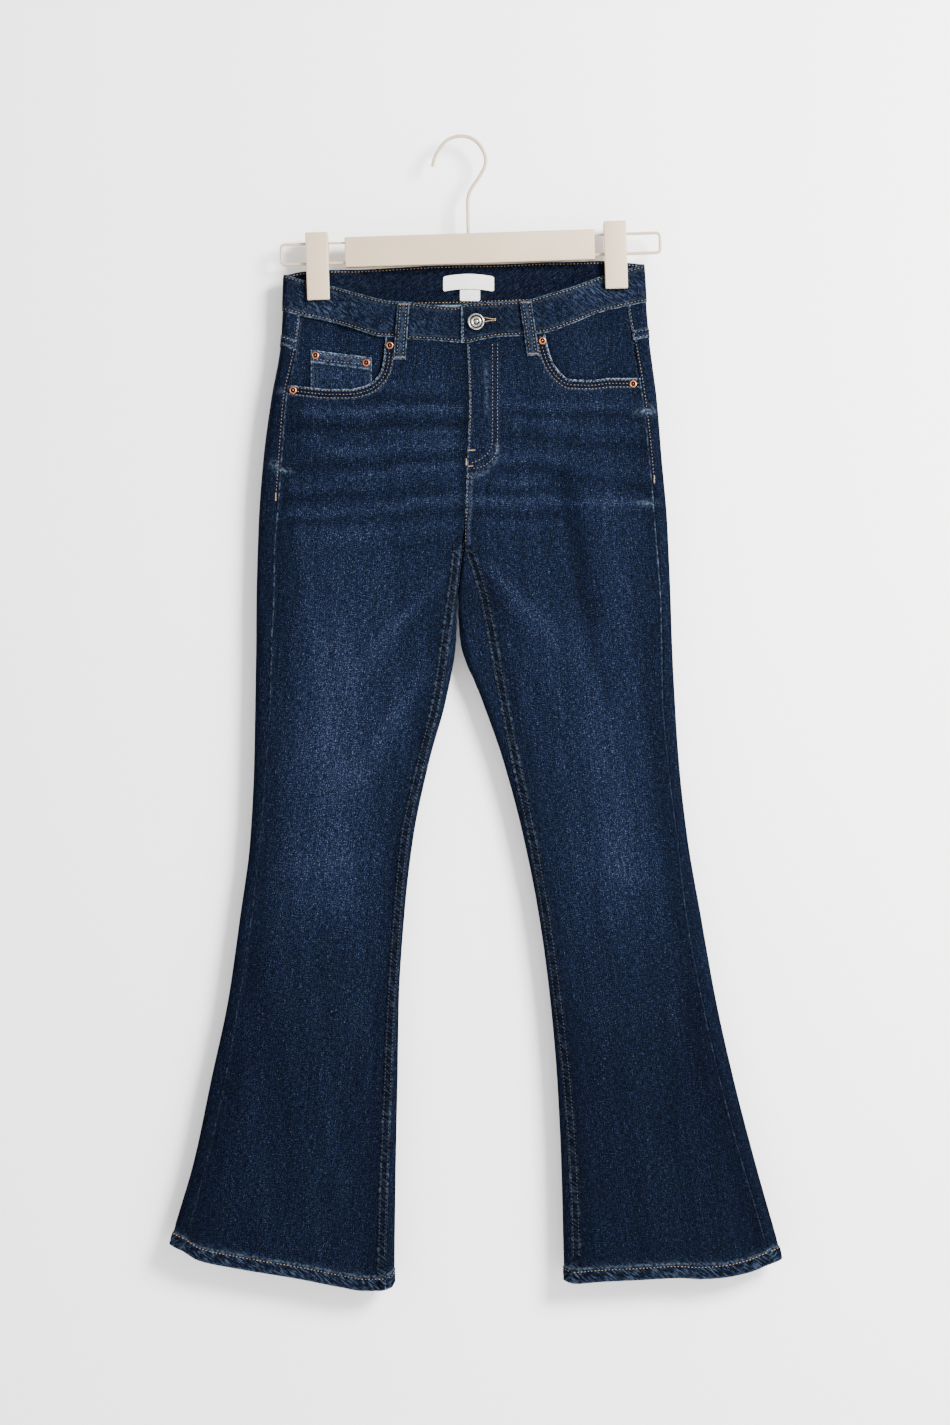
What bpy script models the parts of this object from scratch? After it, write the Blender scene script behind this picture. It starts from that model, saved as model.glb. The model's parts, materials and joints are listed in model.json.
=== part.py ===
"""Bootcut jeans hanging by the waistband from a clip hanger.

The frame's origin is the seat inside the hanger's hook. +Z is up, -Y is the front of the jeans and +X is the
wearer's left. Tables and sizes are in millimetres, and MM turns them into metres when a mesh is made.
"""

import math

import bmesh
import bpy
import numpy as np
from mathutils import Vector
from mathutils.bvhtree import BVHTree

MM = 0.001

# Cloth
DENIM = 1.2
WAISTBAND_THICK = 2.4
WAISTBAND_PROUD = 0.6  # how far the waistband stands out from the panels
GAP = 0.3
SEAM = 0.18  # each panel stops this far from its seam line
HEM_TALL = 14.0
HEM_RAISE = 0.8
BAND_WIDE = 10.0  # felled inseam
BAND_RAISE = 0.7
STEP = 1.2  # the slope at the edge of a raised band
FLY_WIDE = 31.0
FLY_RAISE = 1.0
FLY_END = -345.0
LAP = 2.7  # how far the buttoned end lifts off the end under it
LAP_FROM = -2.6
LAP_TO = 37.6
LAP_FADE = (40.0, 52.0)

# Each leg: how wide it is at each height. outer and inner are the folds at its sides, side_seam and inseam are
# the joins that show on the front. Above the crotch, inner and inseam are the centre line.
LEG_COLUMNS = ("z", "outer", "side_seam", "inseam", "inner")
LEG_RIGHT = [
    (-120, -184.5, -162, 2.6, 2.6),
    (-178, -186.5, -167.5, 2.6, 2.6),
    (-213, -188.5, -171.5, 3.6, 3.6),
    (-270, -198.3, -183, 5.7, 5.7),
    (-332, -206.5, -188, 3.6, 3.6),
    (-393, -211.2, -192.6, 1.5, 1.5),
    (-419, -212.2, -195, -1.8, -0.7),
    (-445, -213, -195.6, -5.2, -3.9),
    (-476, -213.7, -196.2, -8.6, -6.6),
    (-517, -213.9, -198.3, -13.9, -7.7),
    (-579, -214.8, -199.8, -23.2, -18),
    (-641, -215.8, -203.9, -38.5, -35),
    (-723, -219.9, -210.6, -56.1, -52),
    (-805, -230.7, -219.5, -63.9, -61.2),
    (-888, -242.6, -232, -69.5, -66.4),
    (-970, -260.1, -246, -72.9, -67.8),
    (-1053, -277.6, -265, -76.2, -69.5),
    (-1135, -301.5, -286, -78.8, -70.6),
    (-1190, -315, -299, -80, -71),
]
LEG_LEFT = [
    (-120, 185.5, 164.5, 2.6, 2.6),
    (-178, 189, 169.4, 2.6, 2.6),
    (-213, 192, 175.6, 3.6, 3.6),
    (-270, 199.3, 184.9, 5.7, 5.7),
    (-332, 204.5, 192, 3.6, 3.6),
    (-393, 210, 197.2, 1.5, 1.5),
    (-419, 211.3, 199.3, 1.2, -0.2),
    (-445, 212.5, 201.5, 8.5, -3.2),
    (-476, 213.7, 203.4, 17, -5.9),
    (-517, 215, 204.5, 25.2, -3.6),
    (-579, 218, 205.5, 36.6, 19),
    (-641, 222, 210.6, 48.9, 40.7),
    (-723, 231.2, 220.5, 66.4, 62.3),
    (-805, 245.5, 230.5, 80.9, 78.2),
    (-888, 260.3, 246, 92.2, 89.2),
    (-970, 278.6, 264.2, 101.2, 96.3),
    (-1053, 300, 286.5, 107.5, 100.4),
    (-1135, 323, 310.5, 110.5, 102.5),
    (-1190, 338, 325, 111, 103.5),
]
# How deep the body and legs are, in front of and behind the middle plane, and how far that plane lies behind the
# hanger.
DEPTH_COLUMNS = ("z", "front", "back", "middle")
DEPTHS = [
    (-120, 13.5, 13, 0),
    (-178, 13.5, 14, 0),
    (-213, 13, 15, 0),
    (-270, 12, 18.5, 0.5),
    (-332, 11, 20, 1.5),
    (-393, 9.5, 16, 2.5),
    (-419, 9, 13.5, 3),
    (-476, 8.5, 10.5, 3),
    (-517, 8.5, 9.5, 3),
    (-641, 8, 8, 2),
    (-805, 7, 7, 1),
    (-970, 7.5, 7.5, 0),
    (-1135, 10, 10, -1),
    (-1190, 10.5, 10.5, -1),
]
CROTCH = -419.0
PINCH_OVER = 38.0  # the centre line sinks to the crotch over this height
FOLD_OUTER = 10.0  # how far in from a side fold the cloth is still rounding
FOLD_CROTCH = 4.0
FOLD_INNER = 9.0
FOLD_GROWS = 110.0
LENS = 0.2  # how much less deep a leg is beside its folds than in the middle
CLIP_X = (-150.0, 156.0)
CLIP_PINCH = 0.77
CLIP_FLAT = 14.0
CLIP_EASE = 21.0
CLIP_FADE = (-172.0, -290.0)

# Heights of edges across the front and the back, as x and z.
WAIST_TOP_FRONT = [(-186, -141), (-163, -147), (-137.5, -152.3), (-117, -158.8), (-96.3, -165), (-75.7, -169.7),
                   (-55, -171), (-34.5, -174), (-8.8, -176), (-1.5, -174), (6.7, -172.5), (37.6, -171),
                   (53, -169.9), (68.5, -167.9), (89.1, -161.7), (109.7, -155.5), (130.3, -147.3),
                   (140.6, -143.2), (167.4, -136), (189, -130)]
WAIST_SEAM_FRONT = [(-190, -178.2), (-168.4, -183.3), (-147.8, -187.5), (-127.2, -192.6), (-106.6, -199.8),
                    (-86, -206), (-70.4, -207), (-55.1, -209.1), (-34.5, -210.1), (-8.8, -212.2),
                    (2.6, -213.2), (17, -210.1), (36.6, -207), (58.2, -205.5), (83.9, -202.4),
                    (109.7, -193.6), (140.6, -180.3), (166.3, -174.1), (192, -169)]
WAIST_TOP_BACK = [(-186, -141), (-163, -137.2), (-117, -134.7), (-65.4, -131.5), (-24.2, -129.3), (37.6, -128),
                  (99.4, -125.9), (142.7, -126.4), (167.4, -128.2), (189, -130)]
WAIST_SEAM_BACK = [(-190, -178.2), (-163, -176), (-65.4, -171.5), (0, -170), (99.4, -167), (167.4, -167.5),
                   (192, -169)]
YOKE_BACK = [(-199, -209), (-192, -211), (2.6, -238), (192, -203), (199, -201)]
YOKE_FRONT = [(-199, -207), (-186, -210), (-172, -216), (172, -205.5), (186, -203), (199, -200)]
SCOOP_RIGHT = [(-200, -254), (-179.7, -255.4), (-160.2, -257.5), (-137.5, -259.6), (-117, -259.6),
               (-101.5, -256.5), (-91.2, -250.3), (-84, -239), (-81.9, -228.7), (-80.9, -218.4),
               (-79.8, -206.3)]
SCOOP_LEFT = [(83.8, -204), (85, -210), (87, -218.4), (91.2, -230.7), (99.4, -243), (109.7, -249.8),
              (130.3, -250.3), (150.9, -248.2), (171.5, -248.2), (200, -247.5)]
HEM_RIGHT = [(-303, -1138.2), (-290, -1144), (-271.4, -1154.6), (-230.2, -1162.9), (-168.4, -1173.2),
             (-127.2, -1181.4), (-101.5, -1185.5), (-86, -1185.5), (-74, -1182.4), (-70, -1176.3)]
HEM_LEFT = [(101.5, -1175.2), (114.8, -1178.3), (140.6, -1176.3), (181.8, -1174.2), (223, -1172.1),
            (243.6, -1173.2), (264.2, -1172.1), (295.1, -1166), (310.5, -1159.8), (330, -1152.6)]
HEM_BACK_LIFT = 4.0

# The largest folds: face, x and z of one end, x and z of the other, half width, and rise, which is negative in a
# trough.
FOLDS = [
    ("front", -165, -305, -10, -299, 11, -1.3),
    ("front", -160, -286, -30, -281, 9, 0.9),
    ("front", -175, -348, -15, -338, 12, -1.2),
    ("front", -150, -325, -40, -318, 9, 0.9),
    ("front", -180, -392, -20, -371, 12, -1.1),
    ("front", 60, -296, 165, -288, 10, -1.2),
    ("front", 70, -318, 180, -312, 9, 0.9),
    ("front", 45, -344, 190, -336, 12, -1.2),
    ("front", 30, -380, 150, -372, 12, -1.1),
    ("front", -25, -455, -120, -560, 12, 1.1),
    ("front", -45, -560, -110, -655, 13, 1.4),
    ("front", 30, -450, 85, -510, 11, 1.0),
    ("front", 108, -370, 128, -480, 14, -1.6),
    ("front", -120, -760, -215, -800, 20, -1.2),
    ("front", 120, -780, 225, -815, 20, -1.2),
    ("back", -35, -430, -150, -470, 16, 1.8),
    ("back", 35, -430, 150, -468, 16, 1.8),
    ("back", -25, -480, -120, -545, 15, -1.8),
    ("back", 25, -480, 125, -540, 15, -1.8),
    ("back", -90, -735, -190, -755, 18, -1.6),
    ("back", 95, -745, 205, -765, 18, -1.6),
]

# Pocket facings, coin pocket and back pockets
FACING_LOW = -274.0
FACING_THICK = 1.0
FACING_INNER = {"right": -66.0, "left": 71.0}
FACING_SIDE_GAP = 0.8
COIN_TOP = [(-157, -218.4), (-94.2, -227.6)]
COIN_SIDES = (-157.0, -94.2)
COIN_LOW = -268.0
COIN_THICK = 1.0
FACING_UNDER = {"right": 3 * GAP + COIN_THICK, "left": 2 * GAP}  # how far under the front panel
BACK_POCKET_X = 99.0
BACK_POCKET_TOP = (-252.0, -258.0)  # at the side and at the centre
BACK_POCKET_HALF = (68.0, 58.0)  # at the mouth and at the foot
BACK_POCKET_TALL = 132.0
BACK_POCKET_POINT = 17.0
BACK_POCKET_GAP = 0.5

# Fly
SHIELD_X = (-13.0, 38.0)
SHIELD_Z = (-214.0, -352.0)
SHIELD_THICK = 1.2
ZIP_X = (-2.0, 26.0)
ZIP_Z = (-215.0, -338.0)
ZIP_TAPE = 0.8

# Belt loops: face, x at the top, x at the foot, z at the foot
LOOP_WIDE = 12.4
LOOP_THICK = 1.6
LOOP_BULGE = 1.4
LOOP_GAP = 0.5
LOOPS = {
    "belt_loop_front_right": ("front", -61.3, -65.5, -229.7),
    "belt_loop_front_left": ("front", 63.3, 71.6, -226.1),
    "belt_loop_back_right": ("back", -108.0, -110.0, -188.0),
    "belt_loop_back_left": ("back", 110.0, 112.0, -184.0),
    "belt_loop_back_centre": ("back", 2.6, 2.6, -189.0),
}

# Hardware: x and z
RIVET_R = 3.9
RIVET_TALL = 1.7
RIVETS = {
    "rivet_side_right": (-175.1, -261.1),
    "rivet_mouth_right": (-75.7, -215.3),
    "rivet_coin_outer": (-152.4, -224.5),
    "rivet_coin_inner": (-99.9, -232.8),
    "rivet_mouth_left": (80.9, -210.6),
    "rivet_side_left": (174.1, -254.4),
}
BUTTON = (12.9, -191.6)
BUTTON_R = 8.6
BUTTON_TALL = 4.6

# Labels inside the back of the waistband: x range and z range
LABEL_MAIN = ((-21.0, 31.4), (-139.2, -154.5))
LABEL_SIZE = ((-3.6, 17.0), (-150.5, -166.3))
LABEL_THICK = 0.5

# Hanger
HANGER_AT = (6.4, -114.2)
HANGER_TILT = math.radians(1.84)
BAR_LONG = 257.0
BAR_TALL = 31.0
BAR_DEEP = 10.0
BAR_EDGE = 1.2
HOOK_R = 1.8
HOOK_BORE = HOOK_R + GAP
HOOK_SINK = 15.0
HOOK_STEP = 6.0
HOOK_PATH = [(-32.0, -28.8), (-29.2, -19.0), (-24.6, -10.9), (-18.0, -3.2), (-9.5, 0.9), (0.0, 1.8), (9.8, -1.2),
             (18.0, -9.3), (22.6, -20.6), (21.3, -30.6), (14.7, -42.2), (8.2, -51.9), (4.6, -62.0),
             (4.4, -79.8), (4.9, -99.0)]
RAIL_R = 1.5
RAIL_BORE = RAIL_R + GAP
RAIL_APART = 20.4
RAIL_SINK = 16.0
RAIL_CORNER = 4.0
RAIL_END = {"right": -194.3, "left": 196.0}  # along the bar from its middle
CLIP_WIDE = 23.2
CLIP_TALL = 69.5
CLIP_JAW = 4.6
CLIP_MOUTH = 8.8
CLIP_EDGE = 1.6
CLIP_AT = {"right": (-157.0, -13.8), "left": (149.6, -12.0)}  # along and up from the bar's middle
CLIP_SOLID_DOWN = {"right": 36.5, "left": 36.0}  # from the clip's top to where its jaws part

COLOURS = {  # sRGB hex, roughness, metallic
    "denim": ("243A57", 0.9, 0.0),
    "denim_dark": ("1B2C45", 0.9, 0.0),
    "zip": ("2A3140", 0.6, 0.0),
    "label": ("F2F1EE", 0.8, 0.0),
    "copper": ("B4735A", 0.35, 1.0),
    "nickel": ("C9C8C4", 0.25, 1.0),
    "plastic": ("DDD4C8", 0.45, 0.0),
    "wire": ("DAD2C6", 0.4, 0.0),
}


# ---------- curves and the cloth's form ----------


def through(points, x):
    """A smooth curve through (x, value) points that doesn't overshoot them."""
    px, py = np.array(points, float).T
    width = np.diff(px)
    slope = np.diff(py) / width
    inner = np.where(slope[1:] * slope[:-1] > 0,
                     2 * slope[1:] * slope[:-1] / np.where(slope[1:] + slope[:-1] == 0, 1, slope[1:] + slope[:-1]),
                     0)
    tangent = np.concatenate([[slope[0]], inner, [slope[-1]]])
    x = np.clip(x, px[0], px[-1])
    i = np.clip(np.searchsorted(px, x) - 1, 0, len(width) - 1)
    t = (x - px[i]) / width[i]
    return ((1 + 2 * t) * (1 - t) ** 2 * py[i] + t * (1 - t) ** 2 * width[i] * tangent[i]
            + t * t * (3 - 2 * t) * py[i + 1] + t * t * (t - 1) * width[i] * tangent[i + 1])


def column(rows, names, name, z):
    at, of = names.index("z"), names.index(name)
    return through([(row[at], row[of]) for row in sorted(rows)], z)


def smooth(a, b, x):
    t = np.clip((x - a) / (b - a), 0, 1)
    return t * t * (3 - 2 * t)


def rounding(distance, over):
    """0 at a fold, rising on a quarter of an ellipse to 1."""
    t = np.clip(distance / over, 0, 1)
    return np.sqrt(1 - (1 - t) ** 2)


def leg_at(side, name, z):
    return column(LEG_RIGHT if side == "right" else LEG_LEFT, LEG_COLUMNS, name, z)


def folds_at(face, x, z):
    total = 0 * x
    for on, x0, z0, x1, z1, wide, rise in FOLDS:
        if on != face:
            continue
        run = math.hypot(x1 - x0, z1 - z0)
        ux, uz = (x1 - x0) / run, (z1 - z0) / run
        along = (x - x0) * ux + (z - z0) * uz
        across = (z - z0) * ux - (x - x0) * uz
        beyond = np.maximum(np.maximum(-along, along - run), 0)
        total = total + rise * np.exp(-(across / wide) ** 2 - (beyond / (2 * wide)) ** 2)
    return total


def half_depth(side, face, x, z):
    """How far the cloth's outer side lies from the middle plane at x and z."""
    outer, inner = leg_at(side, "outer", z), leg_at(side, "inner", z)
    pinched = smooth(CROTCH + PINCH_OVER, CROTCH, z)
    share = np.clip((x - outer) / (inner - outer), 0, 1)
    lens = 1 - LENS + LENS * np.sin(math.pi * share * (0.5 + 0.5 * pinched))
    fold_inner = FOLD_CROTCH + (FOLD_INNER - FOLD_CROTCH) * smooth(CROTCH, CROTCH - FOLD_GROWS, z)
    shape = rounding(abs(x - outer), FOLD_OUTER) * (1 - pinched * (1 - rounding(abs(x - inner), fold_inner)))
    for clip_x in CLIP_X:
        away = np.maximum(abs(x - clip_x) - CLIP_FLAT, 0)
        held = CLIP_PINCH * (1 - smooth(CLIP_FADE[0], CLIP_FADE[1], z))
        shape = shape * (1 - held * np.exp(-(away / CLIP_EASE) ** 2))
    return shape * (lens * column(DEPTHS, DEPTH_COLUMNS, face, z) + folds_at(face, x, z))


def middle_at(z):
    return column(DEPTHS, DEPTH_COLUMNS, "middle", z)


def cloth_y(face, x, z):
    """The y of the outer side on the front or back, above the crotch or on a leg."""
    centre = leg_at("right", "inner", z)
    deep = np.where(x < centre, half_depth("right", face, x, z), half_depth("left", face, x, z))
    return middle_at(z) + (-deep if face == "front" else deep)


walls = {"outside": [], "inside": []}  # the two sides of each panel made so far, for what lies on it
FAR = 300.0
NEAR_FORM = 5.0


def over(face, x, z, out, under=False):
    """Points over the front or back at x and z, moved out from the panel there, and the normals.

    With under, they are measured from the panel's inner side and out is negative. Where there is no panel, as in
    a pocket mouth, the cloth's form takes its place.
    """
    x, z = np.asarray(x, float), np.asarray(z, float)
    d = 0.5
    slope_x = (cloth_y(face, x + d, z) - cloth_y(face, x - d, z)) / (2 * d)
    slope_z = (cloth_y(face, x, z + d) - cloth_y(face, x, z - d)) / (2 * d)
    way = -1.0 if face == "front" else 1.0
    normal = np.stack([-slope_x * way, np.ones_like(x) * way, -slope_z * way], axis=-1)
    normal /= np.linalg.norm(normal, axis=-1, keepdims=True)
    at = np.stack([x, cloth_y(face, x, z), z], axis=-1) - normal * (DENIM if under else 0)
    for spot in at.reshape(-1, 3):
        start = Vector((spot[0], way * FAR, spot[2]))
        for wall in walls["inside" if under else "outside"]:
            hit = wall.ray_cast(start, Vector((0, -way, 0)))[0]
            if hit and abs(hit.y - spot[1]) < NEAR_FORM and way * (hit.y - middle_at(spot[2])) > 0:
                spot[1] = hit.y
                break
    return at + normal * np.asarray(out)[..., None], normal


# ---------- sheets: lines across the cloth at each height ----------


LINE_POINTS = 360
LEVEL_STEP = 2.0
LEAST_WRAP = 20.0  # the last knot before the inseam is at least this far from it


def front_line(side, z):
    """From the side seam to the inseam or centre line, on the front."""
    seam, inseam = leg_at(side, "side_seam", z), leg_at(side, "inseam", z)
    q = np.linspace(0, 1, 160)
    x = inseam + (seam - inseam) * (1 - q) ** 2
    y = middle_at(z) - half_depth(side, "front", x, z)
    return np.stack([x, y], axis=1), (0.0, 1.0)


def back_line(side, z):
    """From the side seam round the outer fold, across the back and round the inner fold to the inseam."""
    outer, seam, inseam, inner = (leg_at(side, n, z) for n in ("outer", "side_seam", "inseam", "inner"))
    q = np.linspace(0, 1, 60)
    across = (1 - np.cos(math.pi * np.linspace(0, 1, 200))) / 2
    mid = middle_at(z)
    first, back = outer + (seam - outer) * (1 - q) ** 2, outer + (inner - outer) * across[1:]
    last = inner + (inseam - inner) * q[1:] ** 2 if z <= CROTCH else np.empty(0)
    y = np.concatenate([mid - half_depth(side, "front", first, z), mid + half_depth(side, "back", back, z),
                        mid - half_depth(side, "front", last, z)])
    line = np.stack([np.concatenate([first, back, last]), y], axis=1)
    run = length_along(line)
    wrap = max(run[-1] - run[len(first) + len(back) - 1], LEAST_WRAP)
    return line, (0.0, run[len(first) - 1] / run[-1], 1 - wrap / run[-1], 1.0)


def waist_line(z):
    """Round the waist: from the buttoned end to the left side, across the back, and on to the end underneath."""
    left, right = leg_at("left", "outer", z), leg_at("right", "outer", z)
    q = np.linspace(0, 1, 160)
    across = (1 - np.cos(math.pi * q)) / 2
    first, back, last = (left - (left - LAP_FROM) * (1 - q) ** 2, left + (right - left) * across,
                         right + (LAP_TO - right) * q ** 2)
    line = np.concatenate([
        np.stack([first, cloth_y("front", first, z)], axis=1),
        np.stack([back, cloth_y("back", back, z)], axis=1)[1:],
        np.stack([last, cloth_y("front", last, z)], axis=1)[1:],
    ])
    run = length_along(line)
    return line, (0.0, run[len(q) - 1] / run[-1], run[2 * len(q) - 2] / run[-1], 1.0)


def length_along(line):
    return np.concatenate([[0], np.cumsum(np.linalg.norm(np.diff(line, axis=0), axis=1))])


def sheet_of(line_at, high, low, faces):
    """Points, normals, lengths and knots of a form, worked out at even heights and even shares of each line.

    faces is -1 where the middle of the form faces the front, and 1 where it faces the back.
    """
    levels = np.arange(low, high + LEVEL_STEP, LEVEL_STEP)
    shares = np.linspace(0, 1, LINE_POINTS)
    points, lengths, knots = [], [], []
    for z in levels:
        line, knot = line_at(z)
        run = length_along(line)
        x, y = (np.interp(shares * run[-1], run, line[:, k]) for k in (0, 1))
        points.append(np.stack([x, y, np.full_like(x, z)], axis=1))
        lengths.append(run[-1])
        knots.append(knot)
    points = np.array(points)
    normals = np.cross(np.gradient(points, axis=1), np.gradient(points, axis=0))
    normals *= faces * np.sign(normals[len(levels) // 2, LINE_POINTS // 2, 1])
    normals /= np.linalg.norm(normals, axis=2, keepdims=True)
    return {"levels": levels, "points": points, "normals": normals, "lengths": np.array(lengths),
            "knots": np.array(knots)}


def read_sheet(sheet, share, z):
    """The point and normal at these shares and heights."""
    row = np.clip((z - sheet["levels"][0]) / LEVEL_STEP, 0, len(sheet["levels"]) - 1.001)
    col = np.clip(share * (LINE_POINTS - 1), 0, LINE_POINTS - 1.001)
    i, j = row.astype(int), col.astype(int)
    a, b = (row - i)[..., None], (col - j)[..., None]
    found = []
    for grid in (sheet["points"], sheet["normals"]):
        found.append((1 - a) * ((1 - b) * grid[i, j] + b * grid[i, j + 1])
                     + a * ((1 - b) * grid[i + 1, j] + b * grid[i + 1, j + 1]))
    return found[0], found[1] / np.linalg.norm(found[1], axis=-1, keepdims=True)


def share_at(sheet, knot, inset, z):
    """The share at a place between knots (1.5 is midway from the second to the third), plus some millimetres."""
    length = np.interp(z, sheet["levels"], sheet["lengths"])
    count = sheet["knots"].shape[1]
    first = int(min(knot, count - 2))
    a, b = (np.interp(z, sheet["levels"], sheet["knots"][:, k]) for k in (first, first + 1))
    return a + (b - a) * (knot - first) + inset / length


def height_on(sheet, knot, inset, edge):
    """The height at which a column of the sheet meets an edge given as z for each x and face."""
    high, low = sheet["levels"][-1], sheet["levels"][0]
    for _ in range(40):
        z = np.array((high + low) / 2)
        point, normal = read_sheet(sheet, share_at(sheet, knot, inset, z), z)
        if z > edge(point[0], "back" if normal[1] > 0 else "front"):
            high = float(z)
        else:
            low = float(z)
    return (high + low) / 2


# ---------- meshes ----------


def material(name):
    made = bpy.data.materials.get(name)
    if made:
        return made
    hex_code, roughness, metallic = COLOURS[name]
    colour = [((int(hex_code[i:i + 2], 16) / 255 + 0.055) / 1.055) ** 2.4 for i in (0, 2, 4)]
    made = bpy.data.materials.new(name)
    made.use_nodes = True
    shader = made.node_tree.nodes["Principled BSDF"]
    shader.inputs["Base Color"].default_value = (*colour, 1)
    shader.inputs["Roughness"].default_value = roughness
    shader.inputs["Metallic"].default_value = metallic
    made.diffuse_color = (*colour, 1)
    return made


def add_object(name, data, look):
    obj = bpy.data.objects.new(name, data)
    bpy.context.scene.collection.objects.link(obj)
    data.materials.append(material(look))
    return obj


def add_mesh(name, points, faces, look):
    mesh = bpy.data.meshes.new(name)
    mesh.from_pydata([Vector(p) * MM for p in points], [], faces)
    mesh.shade_smooth()
    mesh.set_sharp_from_angle(angle=math.radians(40))
    return add_object(name, mesh, look)


def add_wall(name, outside, inside, look, lies_on=False):
    """A closed wall between two grids of points, with rims. lies_on keeps its two sides for what lies on it."""
    rows, cols = outside.shape[:2]
    n = rows * cols
    points = np.concatenate([outside.reshape(-1, 3), inside.reshape(-1, 3)])

    def at(i, j):
        return i * cols + j

    faces = []
    for i in range(rows - 1):
        for j in range(cols - 1):
            quad = (at(i, j), at(i, j + 1), at(i + 1, j + 1), at(i + 1, j))
            faces.append(quad)
            faces.append(tuple(n + k for k in reversed(quad)))
    rim = [at(0, j) for j in range(cols)] + [at(i, cols - 1) for i in range(1, rows)]
    rim += [at(rows - 1, j) for j in range(cols - 2, -1, -1)] + [at(i, 0) for i in range(rows - 2, 0, -1)]
    for side, first in (("outside", 0), ("inside", 1)) if lies_on else ():
        walls[side].append(BVHTree.FromPolygons([Vector(p) for p in points], faces[first::2]))
    for a, b in zip(rim, rim[1:] + rim[:1]):
        faces.append((b, a, n + a, n + b))
    obj = add_mesh(name, points, faces, look)
    tidy = bmesh.new()
    tidy.from_mesh(obj.data)
    bmesh.ops.recalc_face_normals(tidy, faces=tidy.faces)
    tidy.to_mesh(obj.data)
    tidy.free()
    return obj


def add_panel(name, sheet, columns, heights, raised, look="denim"):
    """A panel from a sheet: columns are (knot, inset) places, heights gives each column's z values from the top."""
    z = np.array([heights(knot, inset) for knot, inset in columns]).T
    share = np.stack([share_at(sheet, knot, inset, z[:, k]) for k, (knot, inset) in enumerate(columns)], axis=1)
    points, normals = read_sheet(sheet, share, z)
    lift = raised(points, z, share)[..., None]
    return add_wall(name, points + normals * lift, points - normals * DENIM, look, lies_on=True)


def add_patch(name, face, x, z, out, thick, look="denim", under=False):
    """A flat piece on the front or back: grids of x and z, lying this far out from the panel (see over)."""
    out = np.broadcast_to(np.asarray(out, float), np.shape(x))
    inside, normal = over(face, x, z, out, under)
    return add_wall(name, inside + normal * thick, inside, look)


def add_turned(name, profile, at, normal, look, sides=16):
    """A closed turned solid: profile is (radius, height) points from the axis out and back to the axis."""
    build = bmesh.new()
    edges = []
    verts = [build.verts.new((r * MM, 0, h * MM)) for r, h in profile]
    for a, b in zip(verts, verts[1:]):
        edges.append(build.edges.new((a, b)))
    bmesh.ops.spin(build, geom=verts + edges, cent=(0, 0, 0), axis=(0, 0, 1), angle=2 * math.pi, steps=sides)
    bmesh.ops.remove_doubles(build, verts=build.verts, dist=0.00001)
    bmesh.ops.recalc_face_normals(build, faces=build.faces)
    mesh = bpy.data.meshes.new(name)
    build.to_mesh(mesh)
    build.free()
    mesh.shade_smooth()
    mesh.set_sharp_from_angle(angle=math.radians(40))
    obj = add_object(name, mesh, look)
    obj.location = Vector(at) * MM
    obj.rotation_euler = Vector(normal).to_track_quat("Z", "Y").to_euler()
    return obj


def add_wire(name, points, radius, look, parent=None):
    curve = bpy.data.curves.new(name, "CURVE")
    curve.dimensions = "3D"
    curve.bevel_depth = radius * MM
    curve.bevel_resolution = 2
    curve.use_fill_caps = True
    spline = curve.splines.new("POLY")
    spline.points.add(len(points) - 1)
    for spot, p in zip(spline.points, points):
        spot.co = (*(Vector(p) * MM), 1)
    obj = add_object(name, curve, look)
    obj.parent = parent
    return obj


def smooth_path(points, step):
    """Even points on a smooth curve through the given (x, z) points, in the hanger's plane."""
    p = np.array(points, float)
    ends = np.concatenate([[2 * p[0] - p[1]], p, [2 * p[-1] - p[-2]]])
    fine = []
    for k in range(len(p) - 1):
        a, b, c, d = ends[k:k + 4]
        for t in np.linspace(0, 1, 24, endpoint=False):
            fine.append(0.5 * (2 * b + (c - a) * t + (2 * a - 5 * b + 4 * c - d) * t ** 2
                               + (3 * b - 3 * c + d - a) * t ** 3))
    fine.append(p[-1])
    fine = np.array(fine)
    run = length_along(fine)
    even = np.linspace(0, run[-1], round(run[-1] / step) + 1)
    return [(np.interp(s, run, fine[:, 0]), 0.0, np.interp(s, run, fine[:, 1])) for s in even]


def add_block(name, size, at, edge, look, parent=None):
    build = bmesh.new()
    bmesh.ops.create_cube(build, size=MM)
    bmesh.ops.scale(build, vec=size, verts=build.verts)
    if edge:
        bmesh.ops.bevel(build, geom=build.edges, offset=edge * MM, segments=2, profile=0.5, affect="EDGES")
    mesh = bpy.data.meshes.new(name)
    build.to_mesh(mesh)
    build.free()
    obj = add_object(name, mesh, look)
    obj.location = Vector(at) * MM
    obj.parent = parent
    return obj


def cut(obj, cutter):
    cutter.hide_render = True
    cutter.display_type = "WIRE"
    bore = obj.modifiers.new(cutter.name, "BOOLEAN")
    bore.operation = "DIFFERENCE"
    bore.object = cutter


def add_bore(name, radius, start, end, parent):
    """A round cutter between two points."""
    a, b = Vector(start), Vector(end)
    build = bmesh.new()
    bmesh.ops.create_cone(build, cap_ends=True, segments=12, radius1=radius * MM, radius2=radius * MM,
                          depth=(b - a).length * MM)
    mesh = bpy.data.meshes.new(name)
    build.to_mesh(mesh)
    build.free()
    obj = add_object(name, mesh, "plastic")
    obj.location = (a + b) / 2 * MM
    obj.rotation_euler = (b - a).to_track_quat("Z", "Y").to_euler()
    obj.parent = parent
    return obj


# ---------- the jeans ----------


FRONT_ROWS = [-213, -224, -236, -249, -262, -276, -289, -301, -313, -326, -339, -352, -366, -381, -397, -410, -419,
              -430, -443, -458, -476, -500, -530, -565, -605, -655, -710, -770, -835, -905, -975, -1045, -1105]
BACK_ROWS = [-222, -245, -270, -300, -330, -360, -385, -403, -419, -430, -443, -458, -476, -500, -530, -565, -605,
             -655, -710, -770, -835, -905, -975, -1045, -1105]
HEM_LEVEL = -1165.0
TOP_EASE = 180.0
HEM_EASE = 150.0

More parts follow.
